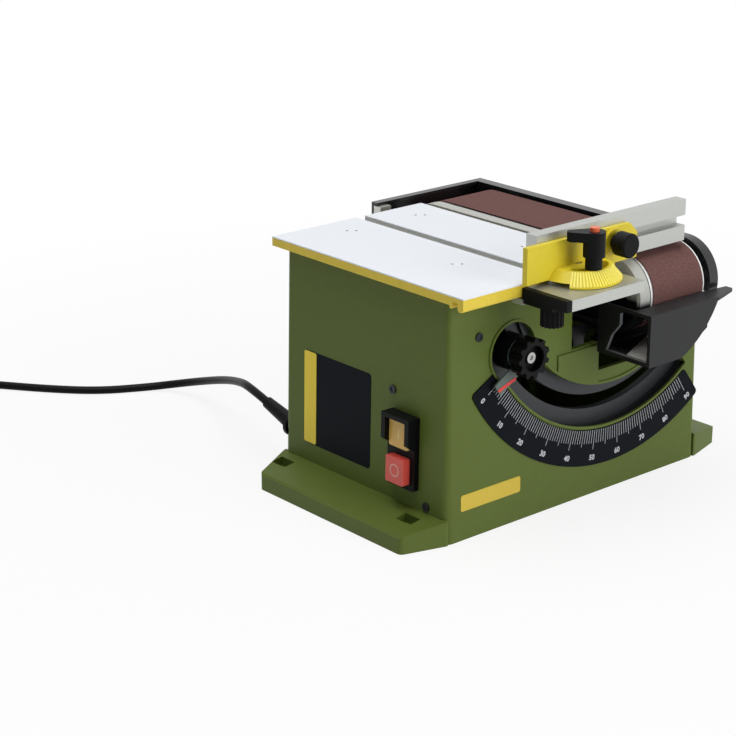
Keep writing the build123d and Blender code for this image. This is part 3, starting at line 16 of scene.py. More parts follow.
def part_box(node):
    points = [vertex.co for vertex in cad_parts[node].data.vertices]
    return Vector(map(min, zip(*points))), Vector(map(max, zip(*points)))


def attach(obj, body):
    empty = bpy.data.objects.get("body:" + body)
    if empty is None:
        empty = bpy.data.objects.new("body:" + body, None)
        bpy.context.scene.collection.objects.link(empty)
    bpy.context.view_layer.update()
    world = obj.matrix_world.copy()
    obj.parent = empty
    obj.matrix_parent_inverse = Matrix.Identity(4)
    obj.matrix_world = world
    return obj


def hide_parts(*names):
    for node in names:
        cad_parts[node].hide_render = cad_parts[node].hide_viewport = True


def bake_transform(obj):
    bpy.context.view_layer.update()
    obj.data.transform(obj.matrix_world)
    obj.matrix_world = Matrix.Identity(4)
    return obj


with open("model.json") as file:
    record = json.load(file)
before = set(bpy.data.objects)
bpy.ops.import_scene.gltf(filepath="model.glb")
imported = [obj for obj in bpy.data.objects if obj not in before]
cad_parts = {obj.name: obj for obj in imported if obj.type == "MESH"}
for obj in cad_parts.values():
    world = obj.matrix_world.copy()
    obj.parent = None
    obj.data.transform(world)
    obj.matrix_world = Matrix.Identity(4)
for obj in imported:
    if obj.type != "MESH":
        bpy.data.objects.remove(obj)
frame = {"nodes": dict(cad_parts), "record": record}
nodes = frame["nodes"]
scene = bpy.context.scene
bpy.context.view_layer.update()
MM = 0.001

# %% [markdown]
# ## The camera
# The photograph was taken from the front left, a little above the table. Its place was found by
# fitting the housing's corners, the table and the scale. The frame is square, so a focal length in
# pixels turns into a lens length through the sensor's width.

# %% Camera
PHOTO_SIDE = 736
FOCAL_PIXELS = 2050.0
CAMERA_PLACE = Vector((-936.6, -959.9, 540.6)) * MM
CAMERA_LOOK = Vector((0.6155, 0.7148, -0.3318)).normalized()
camera_data = bpy.data.cameras.new("camera")
camera_data.sensor_width = 36.0
camera_data.lens = FOCAL_PIXELS / PHOTO_SIDE * camera_data.sensor_width
camera = bpy.data.objects.new("camera", camera_data)
scene.collection.objects.link(camera)
camera.location = CAMERA_PLACE
camera.rotation_euler = CAMERA_LOOK.to_track_quat("-Z", "Y").to_euler()
scene.camera = camera
print("lens", round(camera_data.lens, 2), "mm")


# %% [markdown]
# ## Colours and nodes
# Colours are written as they look on a screen, in sRGB hex, and one function turns them to the linear
# values that a shader needs. A second small function adds a node, of a shader or of geometry, with its
# settings and links. No real surface has one flat colour, so the last three give a finish its grain and
# a colour that wavers a little, both sized in millimetres.


# %% Colour and node helpers
def linear(hex_colour):
    """An sRGB hex colour as linear red, green, blue and alpha."""
    parts = [int(hex_colour[i : i + 2], 16) / 255 for i in (1, 3, 5)]
    return [c / 12.92 if c <= 0.04045 else ((c + 0.055) / 1.055) ** 2.4 for c in parts] + [1.0]


def add_node(tree, kind, settings=None, inputs=None):
    """Adds a node. An input is a value, or another node or its socket to link from."""
    node = tree.nodes.new(kind)
    for name, value in (settings or {}).items():
        setattr(node, name, value)
    for name, value in (inputs or {}).items():
        if isinstance(value, bpy.types.Node):
            value = value.outputs[0]
        if isinstance(value, bpy.types.NodeSocket):
            tree.links.new(value, node.inputs[name])
        else:
            node.inputs[name].default_value = value
    return node


def new_material(name, colour, roughness, metallic=0.0, gloss=0.5):
    """A material with one plain surface, and its node tree to add patterns to."""
    material = bpy.data.materials.new(name)
    material.use_nodes = True
    surface = material.node_tree.nodes["Principled BSDF"]
    surface.inputs["Base Color"].default_value = linear(colour)
    surface.inputs["Roughness"].default_value = roughness
    surface.inputs["Metallic"].default_value = metallic
    surface.inputs["Specular IOR Level"].default_value = gloss
    material.diffuse_color = linear(colour)
    return material, material.node_tree, surface


def grain_bump(tree, surface, size_mm, depth_mm, strength=0.5):
    """A fine even grain, its size given in millimetres, as a bump on a surface."""
    place = add_node(tree, "ShaderNodeTexCoord")
    noise = add_node(
        tree,
        "ShaderNodeTexNoise",
        inputs={"Vector": place.outputs["Object"], "Scale": 1 / (size_mm * MM), "Detail": 2.0},
    )
    bump = add_node(
        tree,
        "ShaderNodeBump",
        inputs={
            "Height": noise.outputs["Fac"],
            "Distance": depth_mm * MM,
            "Strength": strength,
        },
    )
    tree.links.new(bump.outputs["Normal"], surface.inputs["Normal"])
    return noise


def mottle(tree, colour, size_mm, share):
    """A colour that wavers by a small share, in spots whose size is given in millimetres."""
    place = add_node(tree, "ShaderNodeTexCoord")
    noise = add_node(
        tree,
        "ShaderNodeTexNoise",
        inputs={"Vector": place.outputs["Object"], "Scale": 1 / (size_mm * MM), "Detail": 3.0},
    )
    tone = add_node(tree, "ShaderNodeMix", {"data_type": "RGBA"}, {"Factor": noise.outputs["Fac"]})
    tone.inputs["A"].default_value = [c * (1 - share) for c in linear(colour)[:3]] + [1.0]
    tone.inputs["B"].default_value = [min(c * (1 + share), 1.0) for c in linear(colour)]
    return tone.outputs["Result"]


def grained(name, colour, roughness, grain, spots, metallic=0.0, gloss=0.5):
    """A finish with a grain of a size and depth, and a colour that wavers in spots of a size and share."""
    material, tree, surface = new_material(name, colour, roughness, metallic, gloss)
    grain_bump(tree, surface, *grain)
    tree.links.new(mottle(tree, colour, *spots), surface.inputs["Base Color"])
    return material


# %% [markdown]
# ## Moulded and coated finishes
# Each finish starts from the real material and how its surface was made. The housing is ABS, moulded in
# a lightly eroded tool, so it is matt with a fine even grain. Black pieces are glass-filled nylon, with
# little gloss of their own. Buttons are shinier thermoplastic. The inner wall of the arc opening in the
# front wall is coloured black as painted shade: it is no piece of its own, only a mask on the distance
# from the belt's pivot and on the depth behind the front wall, which leans in by the mould's draft.


# %% Moulded plastics
PIVOT_X = 31.0
PIVOT_Z = 168.0
OPENING_RADIUS = 120.5
FRONT_WALL = -87.5
DRAFT = math.radians(1.1)
SHADE_BEHIND = (0.8, 4.8)
SHADE_TOLERANCE = 0.3
OLIVE = "#586729"
SHADE_BLACK = "#08090A"


def moulded_green_abs():
    # Broad olive walls that stay quiet: the grain breaks up any reflection of the lamps.
    material, tree, surface = new_material("moulded green ABS", OLIVE, 0.5, gloss=0.22)
    grain_bump(tree, surface, size_mm=0.9, depth_mm=0.05)
    place = add_node(tree, "ShaderNodeTexCoord")
    from_pivot = add_node(
        tree,
        "ShaderNodeVectorMath",
        {"operation": "SUBTRACT"},
        {0: place.outputs["Object"], 1: (PIVOT_X * MM, 0.0, PIVOT_Z * MM)},
    )
    flat = add_node(
        tree, "ShaderNodeVectorMath", {"operation": "MULTIPLY"}, {0: from_pivot, 1: (1.0, 0.0, 1.0)}
    )
    radius = add_node(tree, "ShaderNodeVectorMath", {"operation": "LENGTH"}, {0: flat})
    at_opening_radius = add_node(
        tree,
        "ShaderNodeMath",
        {"operation": "COMPARE"},
        {0: radius.outputs["Value"], 1: OPENING_RADIUS * MM, 2: SHADE_TOLERANCE * MM},
    )
    axes = add_node(tree, "ShaderNodeSeparateXYZ", inputs={"Vector": place.outputs["Object"]})
    upright = add_node(
        tree,
        "ShaderNodeMath",
        {"operation": "MULTIPLY_ADD"},
        {0: axes.outputs["Z"], 1: -math.tan(DRAFT), 2: axes.outputs["Y"]},
    )
    shade_middle = FRONT_WALL + (SHADE_BEHIND[0] + SHADE_BEHIND[1]) / 2
    shade_half = (SHADE_BEHIND[1] - SHADE_BEHIND[0]) / 2
    behind = add_node(
        tree,
        "ShaderNodeMath",
        {"operation": "COMPARE"},
        {0: upright, 1: shade_middle * MM, 2: shade_half * MM},
    )
    # Painted shade: the opening's inner wall behind the front face is coloured black, as if in shadow.
    opening_shade = add_node(tree, "ShaderNodeMath", {"operation": "MULTIPLY"}, {0: at_opening_radius, 1: behind})
    colour = add_node(tree, "ShaderNodeMix", {"data_type": "RGBA"}, {"Factor": opening_shade})
    tree.links.new(mottle(tree, OLIVE, 5.0, 0.05), colour.inputs["A"])
    colour.inputs["B"].default_value = linear(SHADE_BLACK)
    tree.links.new(colour.outputs["Result"], surface.inputs["Base Color"])
    return material


def moulded_black_nylon(name, colour, gloss, roughness=0.45):
    # Near black, so a knob or a clamp reads by its outline and a thin sheen on its edges.
    return grained(name, colour, roughness, grain=(0.8, 0.04), spots=(2.0, 0.15), gloss=gloss)


def gloss_thermoplastic(name, colour, roughness=0.3):
    # A clear, full colour with a soft highlight, which makes a button stand out.
    return grained(name, colour, roughness, grain=(0.6, 0.01), spots=(3.0, 0.06), gloss=0.4)


finishes = {
    "housing_green": moulded_green_abs(),
    "black_plastic": moulded_black_nylon("black glass-filled nylon", "#08090B", 0.1),
    "off_red": gloss_thermoplastic("red thermoplastic", "#E2554A"),
    "on_amber": gloss_thermoplastic("amber thermoplastic", "#DDB45C"),
    "button_orange": gloss_thermoplastic("orange thermoplastic", "#EB6A40"),
    "pointer_clear": gloss_thermoplastic("smoke grey thermoplastic", "#56645D"),
}
charcoal = moulded_black_nylon("charcoal impact-proof nylon", "#151618", 0.32)
guard_black = moulded_black_nylon("smooth black nylon", "#101113", 0.55, roughness=0.25)
guide_charcoal = moulded_black_nylon("charcoal acetal", "#232529", 0.4)
print("moulded finishes", len(finishes))


# %% [markdown]
# The table is a casting with a yellow powder coat and a white lacquered sheet on top. The mitre slot is
# milled after coating, so its floor and sides are bare metal: a mask on the slot's width and depth, in
# Object coordinates, turns the yellow to grey there.

# %% Coatings
SLOT_MIDDLE = -45.0
SLOT_WIDTH = 8.0
SLOT_FLOOR = 164.0
SLOT_TOLERANCE = 0.1
MUSTARD = "#E6CC42"
MILLED_GREY = "#C6C7C3"


def powder_coat_yellow():
    # A dull mustard yellow with a faint orange peel, cut by the grey of the milled slot.
    material, tree, surface = new_material("yellow powder coat", MUSTARD, 0.4, gloss=0.35)
    grain_bump(tree, surface, size_mm=1.2, depth_mm=0.03)
    place = add_node(tree, "ShaderNodeTexCoord")
    axes = add_node(tree, "ShaderNodeSeparateXYZ", inputs={"Vector": place.outputs["Object"]})
    across = add_node(
        tree,
        "ShaderNodeMath",
        {"operation": "COMPARE"},
        {0: axes.outputs["X"], 1: SLOT_MIDDLE * MM, 2: (SLOT_WIDTH / 2 + SLOT_TOLERANCE) * MM},
    )
    above = add_node(
        tree,
        "ShaderNodeMath",
        {"operation": "GREATER_THAN"},
        {0: axes.outputs["Z"], 1: (SLOT_FLOOR - SLOT_TOLERANCE) * MM},
    )
    milled = add_node(tree, "ShaderNodeMath", {"operation": "MULTIPLY"}, {0: across, 1: above})
    colour = add_node(tree, "ShaderNodeMix", {"data_type": "RGBA"}, {"Factor": milled})
    tree.links.new(mottle(tree, MUSTARD, 4.0, 0.05), colour.inputs["A"])
    colour.inputs["B"].default_value = linear(MILLED_GREY)
    tree.links.new(colour.outputs["Result"], surface.inputs["Base Color"])
    return material


def enamel_protractor_yellow():
    # A smoother and cleaner yellow than the table's, so the gauge stands off from it.
    name = "yellow enamel on die casting"
    return grained(name, "#DCC82E", 0.4, grain=(1.0, 0.02), spots=(4.0, 0.05), gloss=0.35)


def white_lacquer():
    # A cool, nearly even white: the brightest face of the machine.
    name = "white lacquered sheet"
    return grained(name, "#E9EDF3", 0.4, grain=(1.5, 0.01), spots=(8.0, 0.02), gloss=0.3)


def printed_foil():
    # A flat blue-black ground that lets white printing stand out.
    name = "navy printed foil"
    return grained(name, "#070B12", 0.5, grain=(0.6, 0.01), spots=(1.0, 0.12), gloss=0.06)


finishes["table_yellow"] = powder_coat_yellow()
finishes["protractor_yellow"] = enamel_protractor_yellow()
finishes["table_white"] = white_lacquer()
finishes["scale_black"] = printed_foil()
print("finishes so far", len(finishes))


# %% [markdown]
# Metals keep the default IOR and get their look from roughness and from the marks of their making. The
# fence and gauge plate are extruded and brushed along X, so their fine relief is drawn out in that
# direction. Turned steel is smooth, and cast pieces are dull. The belt's arm is a casting painted black
# and then milled bright along the top. A mask on its height parts the paint from the bare metal, and its
# black below also stands in for the shade under the gauge plate: painted shade. A second mask on its width
# paints a black line of shade along the edge next to the belt. The table's screws have two deep pin holes
# in a pale head, and a mask on height paints the holes dark as painted shade.


# %% Metal finishes
def brushed_metal(name, colour, roughness, line_mm, length_mm):
    """Fine lines along X, a line's width and length given in millimetres."""
    # The lines spread a reflection into a soft band across the bar, so it looks drawn, not polished.
    material, tree, surface = new_material(name, colour, roughness, metallic=0.85)
    place = add_node(tree, "ShaderNodeTexCoord")
    stretch = add_node(
        tree,
        "ShaderNodeMapping",
        inputs={
            "Vector": place.outputs["Object"],
            "Scale": (1 / (length_mm * MM), 1 / (line_mm * MM), 1 / (line_mm * MM)),
        },
    )
    noise = add_node(
        tree,
        "ShaderNodeTexNoise",
        inputs={"Vector": stretch.outputs["Vector"], "Scale": 1.0, "Detail": 3.0},
    )
    bump = add_node(
        tree,
        "ShaderNodeBump",
        inputs={"Height": noise.outputs["Fac"], "Distance": 0.02 * MM, "Strength": 0.35},
    )
    tree.links.new(bump.outputs["Normal"], surface.inputs["Normal"])
    return material


def plain_metal(name, colour, roughness, metallic=1.0):
    # Small bright or dark glints, which part screws and shafts from the plastic round them.
    return grained(name, colour, roughness, grain=(0.4, 0.01), spots=(0.8, 0.08), metallic=metallic)


def cast_aluminium():
    # A silky pale grey without a clear reflection.
    name = "bead-blasted aluminium"
    return grained(name, "#CDCEC8", 0.4, grain=(0.8, 0.03), spots=(2.0, 0.06), metallic=0.8)


def painted_casting(bare_above, fade, shade_line_from):
    """Black paint, with bare metal above a height and left of an edge, in millimetres; right of the edge a
    line of painted shade.
    """
    # A pale strip along the belt's edge. The black below is paint and also painted shade,
    # and a black line of painted shade runs next to the belt.
    name = "black-painted casting, milled on top, with painted shade"
    material, tree, surface = new_material(name, "#CDCEC8", 0.45, gloss=0.2)
    place = add_node(tree, "ShaderNodeTexCoord")
    axes = add_node(tree, "ShaderNodeSeparateXYZ", inputs={"Vector": place.outputs["Object"]})
    bare = add_node(
        tree,
        "ShaderNodeMapRange",
        inputs={
            "Value": axes.outputs["Z"],
            "From Min": (bare_above - fade) * MM,
            "From Max": bare_above * MM,
        },
    )
    left_of_shade_line = add_node(
        tree,
        "ShaderNodeMath",
        {"operation": "LESS_THAN"},
        {0: axes.outputs["X"], 1: shade_line_from * MM},
    )
    # Right of the edge the arm stays black: a line of painted shade between the pale strip and the belt.
    milled = add_node(tree, "ShaderNodeMath", {"operation": "MULTIPLY"}, {0: bare, 1: left_of_shade_line})
    colour = add_node(tree, "ShaderNodeMix", {"data_type": "RGBA"}, {"Factor": milled})
    colour.inputs["A"].default_value = linear("#0E0F11")
    tree.links.new(mottle(tree, "#B9BAB4", 2.5, 0.08), colour.inputs["B"])
    tree.links.new(colour.outputs["Result"], surface.inputs["Base Color"])
    return material


def pin_hole_screws(shade_below):
    """Pale screw heads, their pin holes painted dark below a height, in millimetres, as painted shade."""
    # A pair of black dots of painted shade on a head that is hardly seen against the white table.
    material, tree, surface = new_material("zinc-plated screws", "#C8CACC", 0.35, metallic=0.6)
    place = add_node(tree, "ShaderNodeTexCoord")
    axes = add_node(tree, "ShaderNodeSeparateXYZ", inputs={"Vector": place.outputs["Object"]})
    hole_shade = add_node(
        tree,
        "ShaderNodeMath",
        {"operation": "LESS_THAN"},
        {0: axes.outputs["Z"], 1: shade_below * MM},
    )
    colour = add_node(tree, "ShaderNodeMix", {"data_type": "RGBA"}, {"Factor": hole_shade})
    tree.links.new(mottle(tree, "#E4E7EC", 1.0, 0.05), colour.inputs["A"])
    colour.inputs["B"].default_value = linear("#060607")
    tree.links.new(colour.outputs["Result"], surface.inputs["Base Color"])
    return material


finishes["fence_aluminium"] = brushed_metal("brushed aluminium", "#B2B4B0", 0.42, 0.25, 12.0)
finishes["grey_cast"] = cast_aluminium()
finishes["steel"] = plain_metal("turned steel", "#B4B4B2", 0.25)
finishes["dark_steel"] = plain_metal("blackened steel", "#2A2B2E", 0.4, 0.6)
finishes["spring_steel"] = plain_metal("drawn spring steel", "#A8A8A6", 0.3)
# Near-white and hardly metallic, so the drum's ends show a painted highlight even in the guard's shade.
drum_aluminium_painted_highlight = plain_metal("turned aluminium with painted highlight", "#F6F6F3", 0.35, 0.2)
print("finishes with metals", len(finishes))


# %% [markdown]
# The belt is cloth with corundum grain glued on: reddish brown, dull, with a speckle finer than a
# millimetre. It is drawn a little coarser than it is so that it shows at this size. The cord's sheath,
# the drive belt and the motor's enamel are plain.


# %% Abrasive, rubber and paint
def corundum_cloth():
    # A dry red-brown with a speckle of lighter grains and no highlight at all.
    material, tree, surface = new_material("corundum on cloth", "#6C4A45", 0.9, gloss=0.2)
    noise = grain_bump(tree, surface, size_mm=0.7, depth_mm=0.12, strength=0.8)
    ramp = add_node(tree, "ShaderNodeValToRGB", inputs={"Fac": noise.outputs["Fac"]})
    ramp.color_ramp.elements[0].position = 0.3
    ramp.color_ramp.elements[0].color = linear("#583D3A")
    ramp.color_ramp.elements[1].position = 0.7
    ramp.color_ramp.elements[1].color = linear("#785652")
    tree.links.new(ramp.outputs["Color"], surface.inputs["Base Color"])
    return material


def soft_or_painted(name, colour, roughness, gloss=0.3):
    # A nearly even colour, with a sheen that grows from rubber to enamel.
    return grained(name, colour, roughness, grain=(0.5, 0.01), spots=(1.5, 0.08), gloss=gloss)


finishes["abrasive"] = corundum_cloth()
finishes["cord_black"] = soft_or_painted("black PVC sheath", "#050607", 0.4, gloss=0.1)
finishes["belt_rubber"] = soft_or_painted("neoprene belt", "#1A1A1A", 0.7)
finishes["motor_paint"] = soft_or_painted("grey motor enamel", "#33353A", 0.4)
print("finishes for the slots", len(finishes))

# %% [markdown]
# Printing and thin sheets get coats of their own, because ink on foil is flatter and paler than the piece
# under it: the scale's lines are a softer grey than its numbers, so that they read as one band, and the
# signs on the buttons are hardly lighter than the buttons.

# %% Inks, foils and thin sheets
white_ink = soft_or_painted("white screen ink", "#C9CBCF", 0.5)
grey_ink = soft_or_painted("pale grey screen ink", "#A6A8AC", 0.5)
rose_ink = soft_or_painted("rose screen ink", "#E7ADA2", 0.5)
cream_ink = soft_or_painted("cream screen ink", "#E8CF92", 0.5)
red_ink = soft_or_painted("red lacquer", "#D8433F", 0.35)
yellow_foil = soft_or_painted("yellow label foil", "#FFE04A", 0.5)
gold_foil = soft_or_painted("gold label foil", "#D4B944", 0.5)
# Paler than the enamel, as a painted highlight on the bevel's ridges.
ridge_painted_highlight = soft_or_painted("yellow enamel with painted highlight", "#FFF07A", 0.4)
edge_painted_highlight = soft_or_painted("steel edge with painted highlight", "#8A8C90", 0.5)
painted_light_sheet = soft_or_painted("near-white sheet of painted light", "#FAFAF8", 0.35)
print("materials", len(bpy.data.materials))

# %% [markdown]
# Each node takes the finish of its slot in the record. A few differ from the other nodes of their slot:
# the hood and guard are smoother than the knobs, and the casting and the screws have masks.

# %% Finish of each node
PIN_HOLE_RIM = 0.05
screw_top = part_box("table_screws")[1].z / MM
slot_of = {row["node"]: row["material_slot"] for row in frame["record"]["subparts"]}
own_finish = {
    "dust_hood": charcoal,
    "belt_guard": guard_black,
    "arm_frame": painted_casting(bare_above=142.0, fade=4.0, shade_line_from=28.7),
    "idler_roller": drum_aluminium_painted_highlight,
    "front_guide": guide_charcoal,
    "table_screws": pin_hole_screws(shade_below=screw_top - PIN_HOLE_RIM),
    # The swing plates take the blackened steel, dark also as painted shade for the cavity round the front
    # drum.
    "front_swing_plate": finishes["dark_steel"],
    "rear_swing_plate": finishes["dark_steel"],
}
for name, node in nodes.items():
    node.data.materials.clear()
    node.data.materials.append(own_finish.get(name, finishes[slot_of[name]]))
print("finishes on nodes", len(slot_of), "of their own", len(own_finish))

# %% [markdown]
# ## Printing on the walls
# The housing's walls lean in by the mould's draft, so printing lies on leaning planes. Each plane is a
# matrix whose columns are its own right, up and outward directions. A flat mesh made in X and Y, in
# metres, is moved onto a wall by applying that matrix to its points, which leaves the object itself
# at the origin.

# %% Wall planes
LEFT_WALL = -120.0
INK = 0.08


def wall_plane(origin, right, up):
    """A plane whose X runs right, Y runs up and Z points out of the wall."""
    right = Vector(right)
    up = Vector(up)
    out = right.cross(up)
    turn = Matrix((right, up, out)).transposed().to_4x4()
    return Matrix.Translation(Vector(origin) * MM) @ turn


front_wall = wall_plane((0, FRONT_WALL, 0), (1, 0, 0), (0, math.sin(DRAFT), math.cos(DRAFT)))
left_wall = wall_plane((LEFT_WALL, 0, 0), (0, -1, 0), (math.sin(DRAFT), 0, math.cos(DRAFT)))


def place_piece(name, mesh, plane, material, body):
    """Puts a mesh on its plane as a finished piece."""
    mesh.transform(plane)
    mesh.materials.clear()
    mesh.materials.append(material)
    piece = bpy.data.objects.new(name, mesh)
    scene.collection.objects.link(piece)
    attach(piece, body)
    print(name, len(mesh.polygons), "faces")


# %% [markdown]
# ## The tilt scale
# The scale is a foil on an arc plate, printed with a line for each degree from 0 to 90. Lines for fives
# are longer and lines for tens longer still. They follow a rule, so Geometry Nodes makes them: one box
# on each point, turned along the radius and stretched to the length that its number asks for.


# %% Running a node tree
def run_tree(name, tree, values):
    """Runs a geometry tree once and gives the result as a plain mesh."""
    carrier = bpy.data.objects.new(name, bpy.data.meshes.new(name))
    scene.collection.objects.link(carrier)
    modifier = carrier.modifiers.new("tree", "NODES")
    modifier.node_group = tree
    for socket in tree.interface.items_tree:
        if socket.in_out == "INPUT" and socket.name in values:
            modifier[socket.identifier] = values[socket.name]
    graph = bpy.context.evaluated_depsgraph_get()
    mesh = bpy.data.meshes.new_from_object(carrier.evaluated_get(graph))
    carrier.modifiers.clear()
    bpy.data.objects.remove(carrier)
    return mesh


# %% Radial bars
BAR_SIZES = (
    "First angle",
    "Step",
    "Inner radius",
    "Length",
    "Extra for fives",
    "Extra for tens",
    "Width",
    "Height",
    "Lean",
)


def radial_bars():
    """A tree that sets bars round an axis, each turned along its own radius."""
    tree = bpy.data.node_groups.new("radial bars", "GeometryNodeTree")
    tree.interface.new_socket("Count", in_out="INPUT", socket_type="NodeSocketInt")
    for name in BAR_SIZES:
        tree.interface.new_socket(name, in_out="INPUT", socket_type="NodeSocketFloat")
    tree.interface.new_socket("Material", in_out="INPUT", socket_type="NodeSocketMaterial")
    tree.interface.new_socket("Geometry", in_out="OUTPUT", socket_type="NodeSocketGeometry")
    size = add_node(tree, "NodeGroupInput").outputs
    number = add_node(tree, "GeometryNodeInputIndex")
    times_plus = {"operation": "MULTIPLY_ADD"}
    angle = add_node(
        tree, "ShaderNodeMath", times_plus, {0: number, 1: size["Step"], 2: size["First angle"]}
    )
    length = size["Length"]
    for every, extra in ((5.0, "Extra for fives"), (10.0, "Extra for tens")):
        rest = add_node(tree, "ShaderNodeMath", {"operation": "MODULO"}, {0: number, 1: every})
        hit = add_node(tree, "ShaderNodeMath", {"operation": "LESS_THAN"}, {0: rest, 1: 0.5})
        length = add_node(tree, "ShaderNodeMath", times_plus, {0: hit, 1: size[extra], 2: length})
    radius = add_node(
        tree, "ShaderNodeMath", times_plus, {0: length, 1: 0.5, 2: size["Inner radius"]}
    )
    outward = add_node(
        tree,
        "ShaderNodeVectorRotate",
        {"rotation_type": "Z_AXIS"},
        {"Vector": add_node(tree, "ShaderNodeCombineXYZ", inputs={"X": radius}), "Angle": angle},
    )
    points = add_node(
        tree, "GeometryNodePoints", inputs={"Count": size["Count"], "Position": outward}
    )
    turn = add_node(tree, "ShaderNodeCombineXYZ", inputs={"Y": size["Lean"], "Z": angle})
    stretch = add_node(
        tree,
        "ShaderNodeCombineXYZ",
        inputs={"X": length, "Y": size["Width"], "Z": size["Height"]},
    )
    bars = add_node(
        tree,
        "GeometryNodeInstanceOnPoints",
        inputs={
            "Points": points,
            "Instance": add_node(tree, "GeometryNodeMeshCube", inputs={"Size": (1.0, 1.0, 1.0)}),
            "Rotation": turn,
            "Scale": stretch,
        },
    )
    solid = add_node(tree, "GeometryNodeRealizeInstances", inputs={"Geometry": bars})
    coated = add_node(
        tree, "GeometryNodeSetMaterial", inputs={"Geometry": solid, "Material": size["Material"]}
    )
    add_node(tree, "NodeGroupOutput", inputs={"Geometry": coated})
    return tree


bars_tree = radial_bars()
print("tree nodes", len(bars_tree.nodes))

# %% Scale lines on the plate
SCALE_ZERO = -147.4
SCALE_PLATE = 1.0
LINES_OUTER = 132.5
LINES_INSET = 0.3
LINE_WIDTH = 0.5
LINE_EXTRA = 2.2
LAST_DEGREE = 90
plate_points = [point.co / MM for point in nodes["scale_plate"].data.vertices]
plate_inner = min(math.hypot(p.x - PIVOT_X, p.z - PIVOT_Z) for p in plate_points)
lines_inner = plate_inner + LINES_INSET
print("scale plate's inner radius", round(plate_inner, 2))
scale_middle = Matrix.Translation(Vector((PIVOT_X, PIVOT_Z, SCALE_PLATE)) * MM)
degree_lines = run_tree(
    "degree_lines",
    bars_tree,
    {
        "Count": LAST_DEGREE + 1,
        "First angle": math.radians(SCALE_ZERO),
        "Step": math.radians(1.0),
        "Inner radius": lines_inner * MM,
        "Length": (LINES_OUTER - lines_inner) * MM,
        "Extra for fives": LINE_EXTRA * MM,
        "Extra for tens": LINE_EXTRA * MM,
        "Width": LINE_WIDTH * MM,
        "Height": 2 * INK * MM,
        "Material": grey_ink,
    },
)
scale_plane = front_wall @ scale_middle
place_piece("degree_lines", degree_lines, scale_plane, grey_ink, "base")


# %% [markdown]
# The numbers stand under every tenth line, upright along the radius. A text object is turned to a mesh
# first, and only then moved to its place, so that nothing is left for the object's own transform.


# %% Scale numbers
NUMBER_RADIUS = 142.6
NUMBER_HEIGHT = 5.2
NUMBER_STEP = 10
STROKE_GROWTH = 0.16


def number_mesh(word, height):
    """A number as a thin mesh, centred on the origin."""
    curve = bpy.data.curves.new("number", "FONT")
    curve.body = word
    curve.size = height
    curve.extrude = INK * MM
    curve.offset = STROKE_GROWTH * MM
    curve.resolution_u = 3
    curve.align_x = "CENTER"
    curve.align_y = "CENTER"
    writing = bpy.data.objects.new("number", curve)
    scene.collection.objects.link(writing)
    graph = bpy.context.evaluated_depsgraph_get()
    mesh = bpy.data.meshes.new_from_object(writing.evaluated_get(graph))
    bpy.data.objects.remove(writing)
    return mesh


numbers = bmesh.new()
for degrees in range(0, LAST_DEGREE + 1, NUMBER_STEP):
    angle = math.radians(SCALE_ZERO + degrees)
    mesh = number_mesh(str(degrees), NUMBER_HEIGHT * MM)
    reach = Vector((math.cos(angle), math.sin(angle), 0)) * NUMBER_RADIUS * MM
    mesh.transform(Matrix.Translation(reach) @ Matrix.Rotation(angle + math.pi / 2, 4, "Z"))
    numbers.from_mesh(mesh)
scale_numbers = bpy.data.meshes.new("scale_numbers")
numbers.to_mesh(scale_numbers)
place_piece("scale_numbers", scale_numbers, scale_plane, white_ink, "base")


# %% [markdown]
# ## Plates, badge and pointer line
# The rating plate on the left wall and the badge on the front are left bare: a navy foil with a yellow
# band along its edge, and a gold strip. All are thin sheets with rounded corners, so one function
# draws them: a loop of corner arcs, filled and given the foil's thickness. Rings and other thin prisms
# further down are thickened in the same way.


# %% Thin sheets
CORNER_STEPS = 4


def thickened(name, builder, along):
    """A closed mesh: the flat faces of a builder, drawn out by a vector in millimetres."""
    grown = bmesh.ops.extrude_face_region(builder, geom=builder.faces[:])
    far = [part for part in grown["geom"] if isinstance(part, bmesh.types.BMVert)]
    bmesh.ops.translate(builder, verts=far, vec=Vector(along) * MM)
    bmesh.ops.recalc_face_normals(builder, faces=builder.faces)
    mesh = bpy.data.meshes.new(name)
    builder.to_mesh(mesh)
    return mesh


def prism_mesh(name, loop, along):
    """A closed prism: a loop of points in millimetres, drawn out by a vector."""
    builder = bmesh.new()
    builder.faces.new([builder.verts.new(Vector(point) * MM) for point in loop])
    return thickened(name, builder, along)


def sheet_mesh(name, width, height, corner, thickness):
    """A thin rounded rectangle, given its sizes in millimetres, standing on its plane."""
    loop = []
    for quarter, (side_x, side_y) in enumerate(((1, 1), (-1, 1), (-1, -1), (1, -1))):
        for step in range(CORNER_STEPS + 1):
            turn = math.radians(90 * (quarter + step / CORNER_STEPS))
            x = side_x * (width / 2 - corner) + corner * math.cos(turn)
            y = side_y * (height / 2 - corner) + corner * math.sin(turn)
            loop.append((x, y, 0))
    return prism_mesh(name, loop, (0, 0, thickness))


def on_wall(wall, across, up, out=0.0, turn=0.0):
    """A spot on a wall, in millimetres, for a sheet's middle."""
    spot = Matrix.Translation(Vector((across, up, out)) * MM)
    return wall @ spot @ Matrix.Rotation(math.radians(turn), 4, "Z")


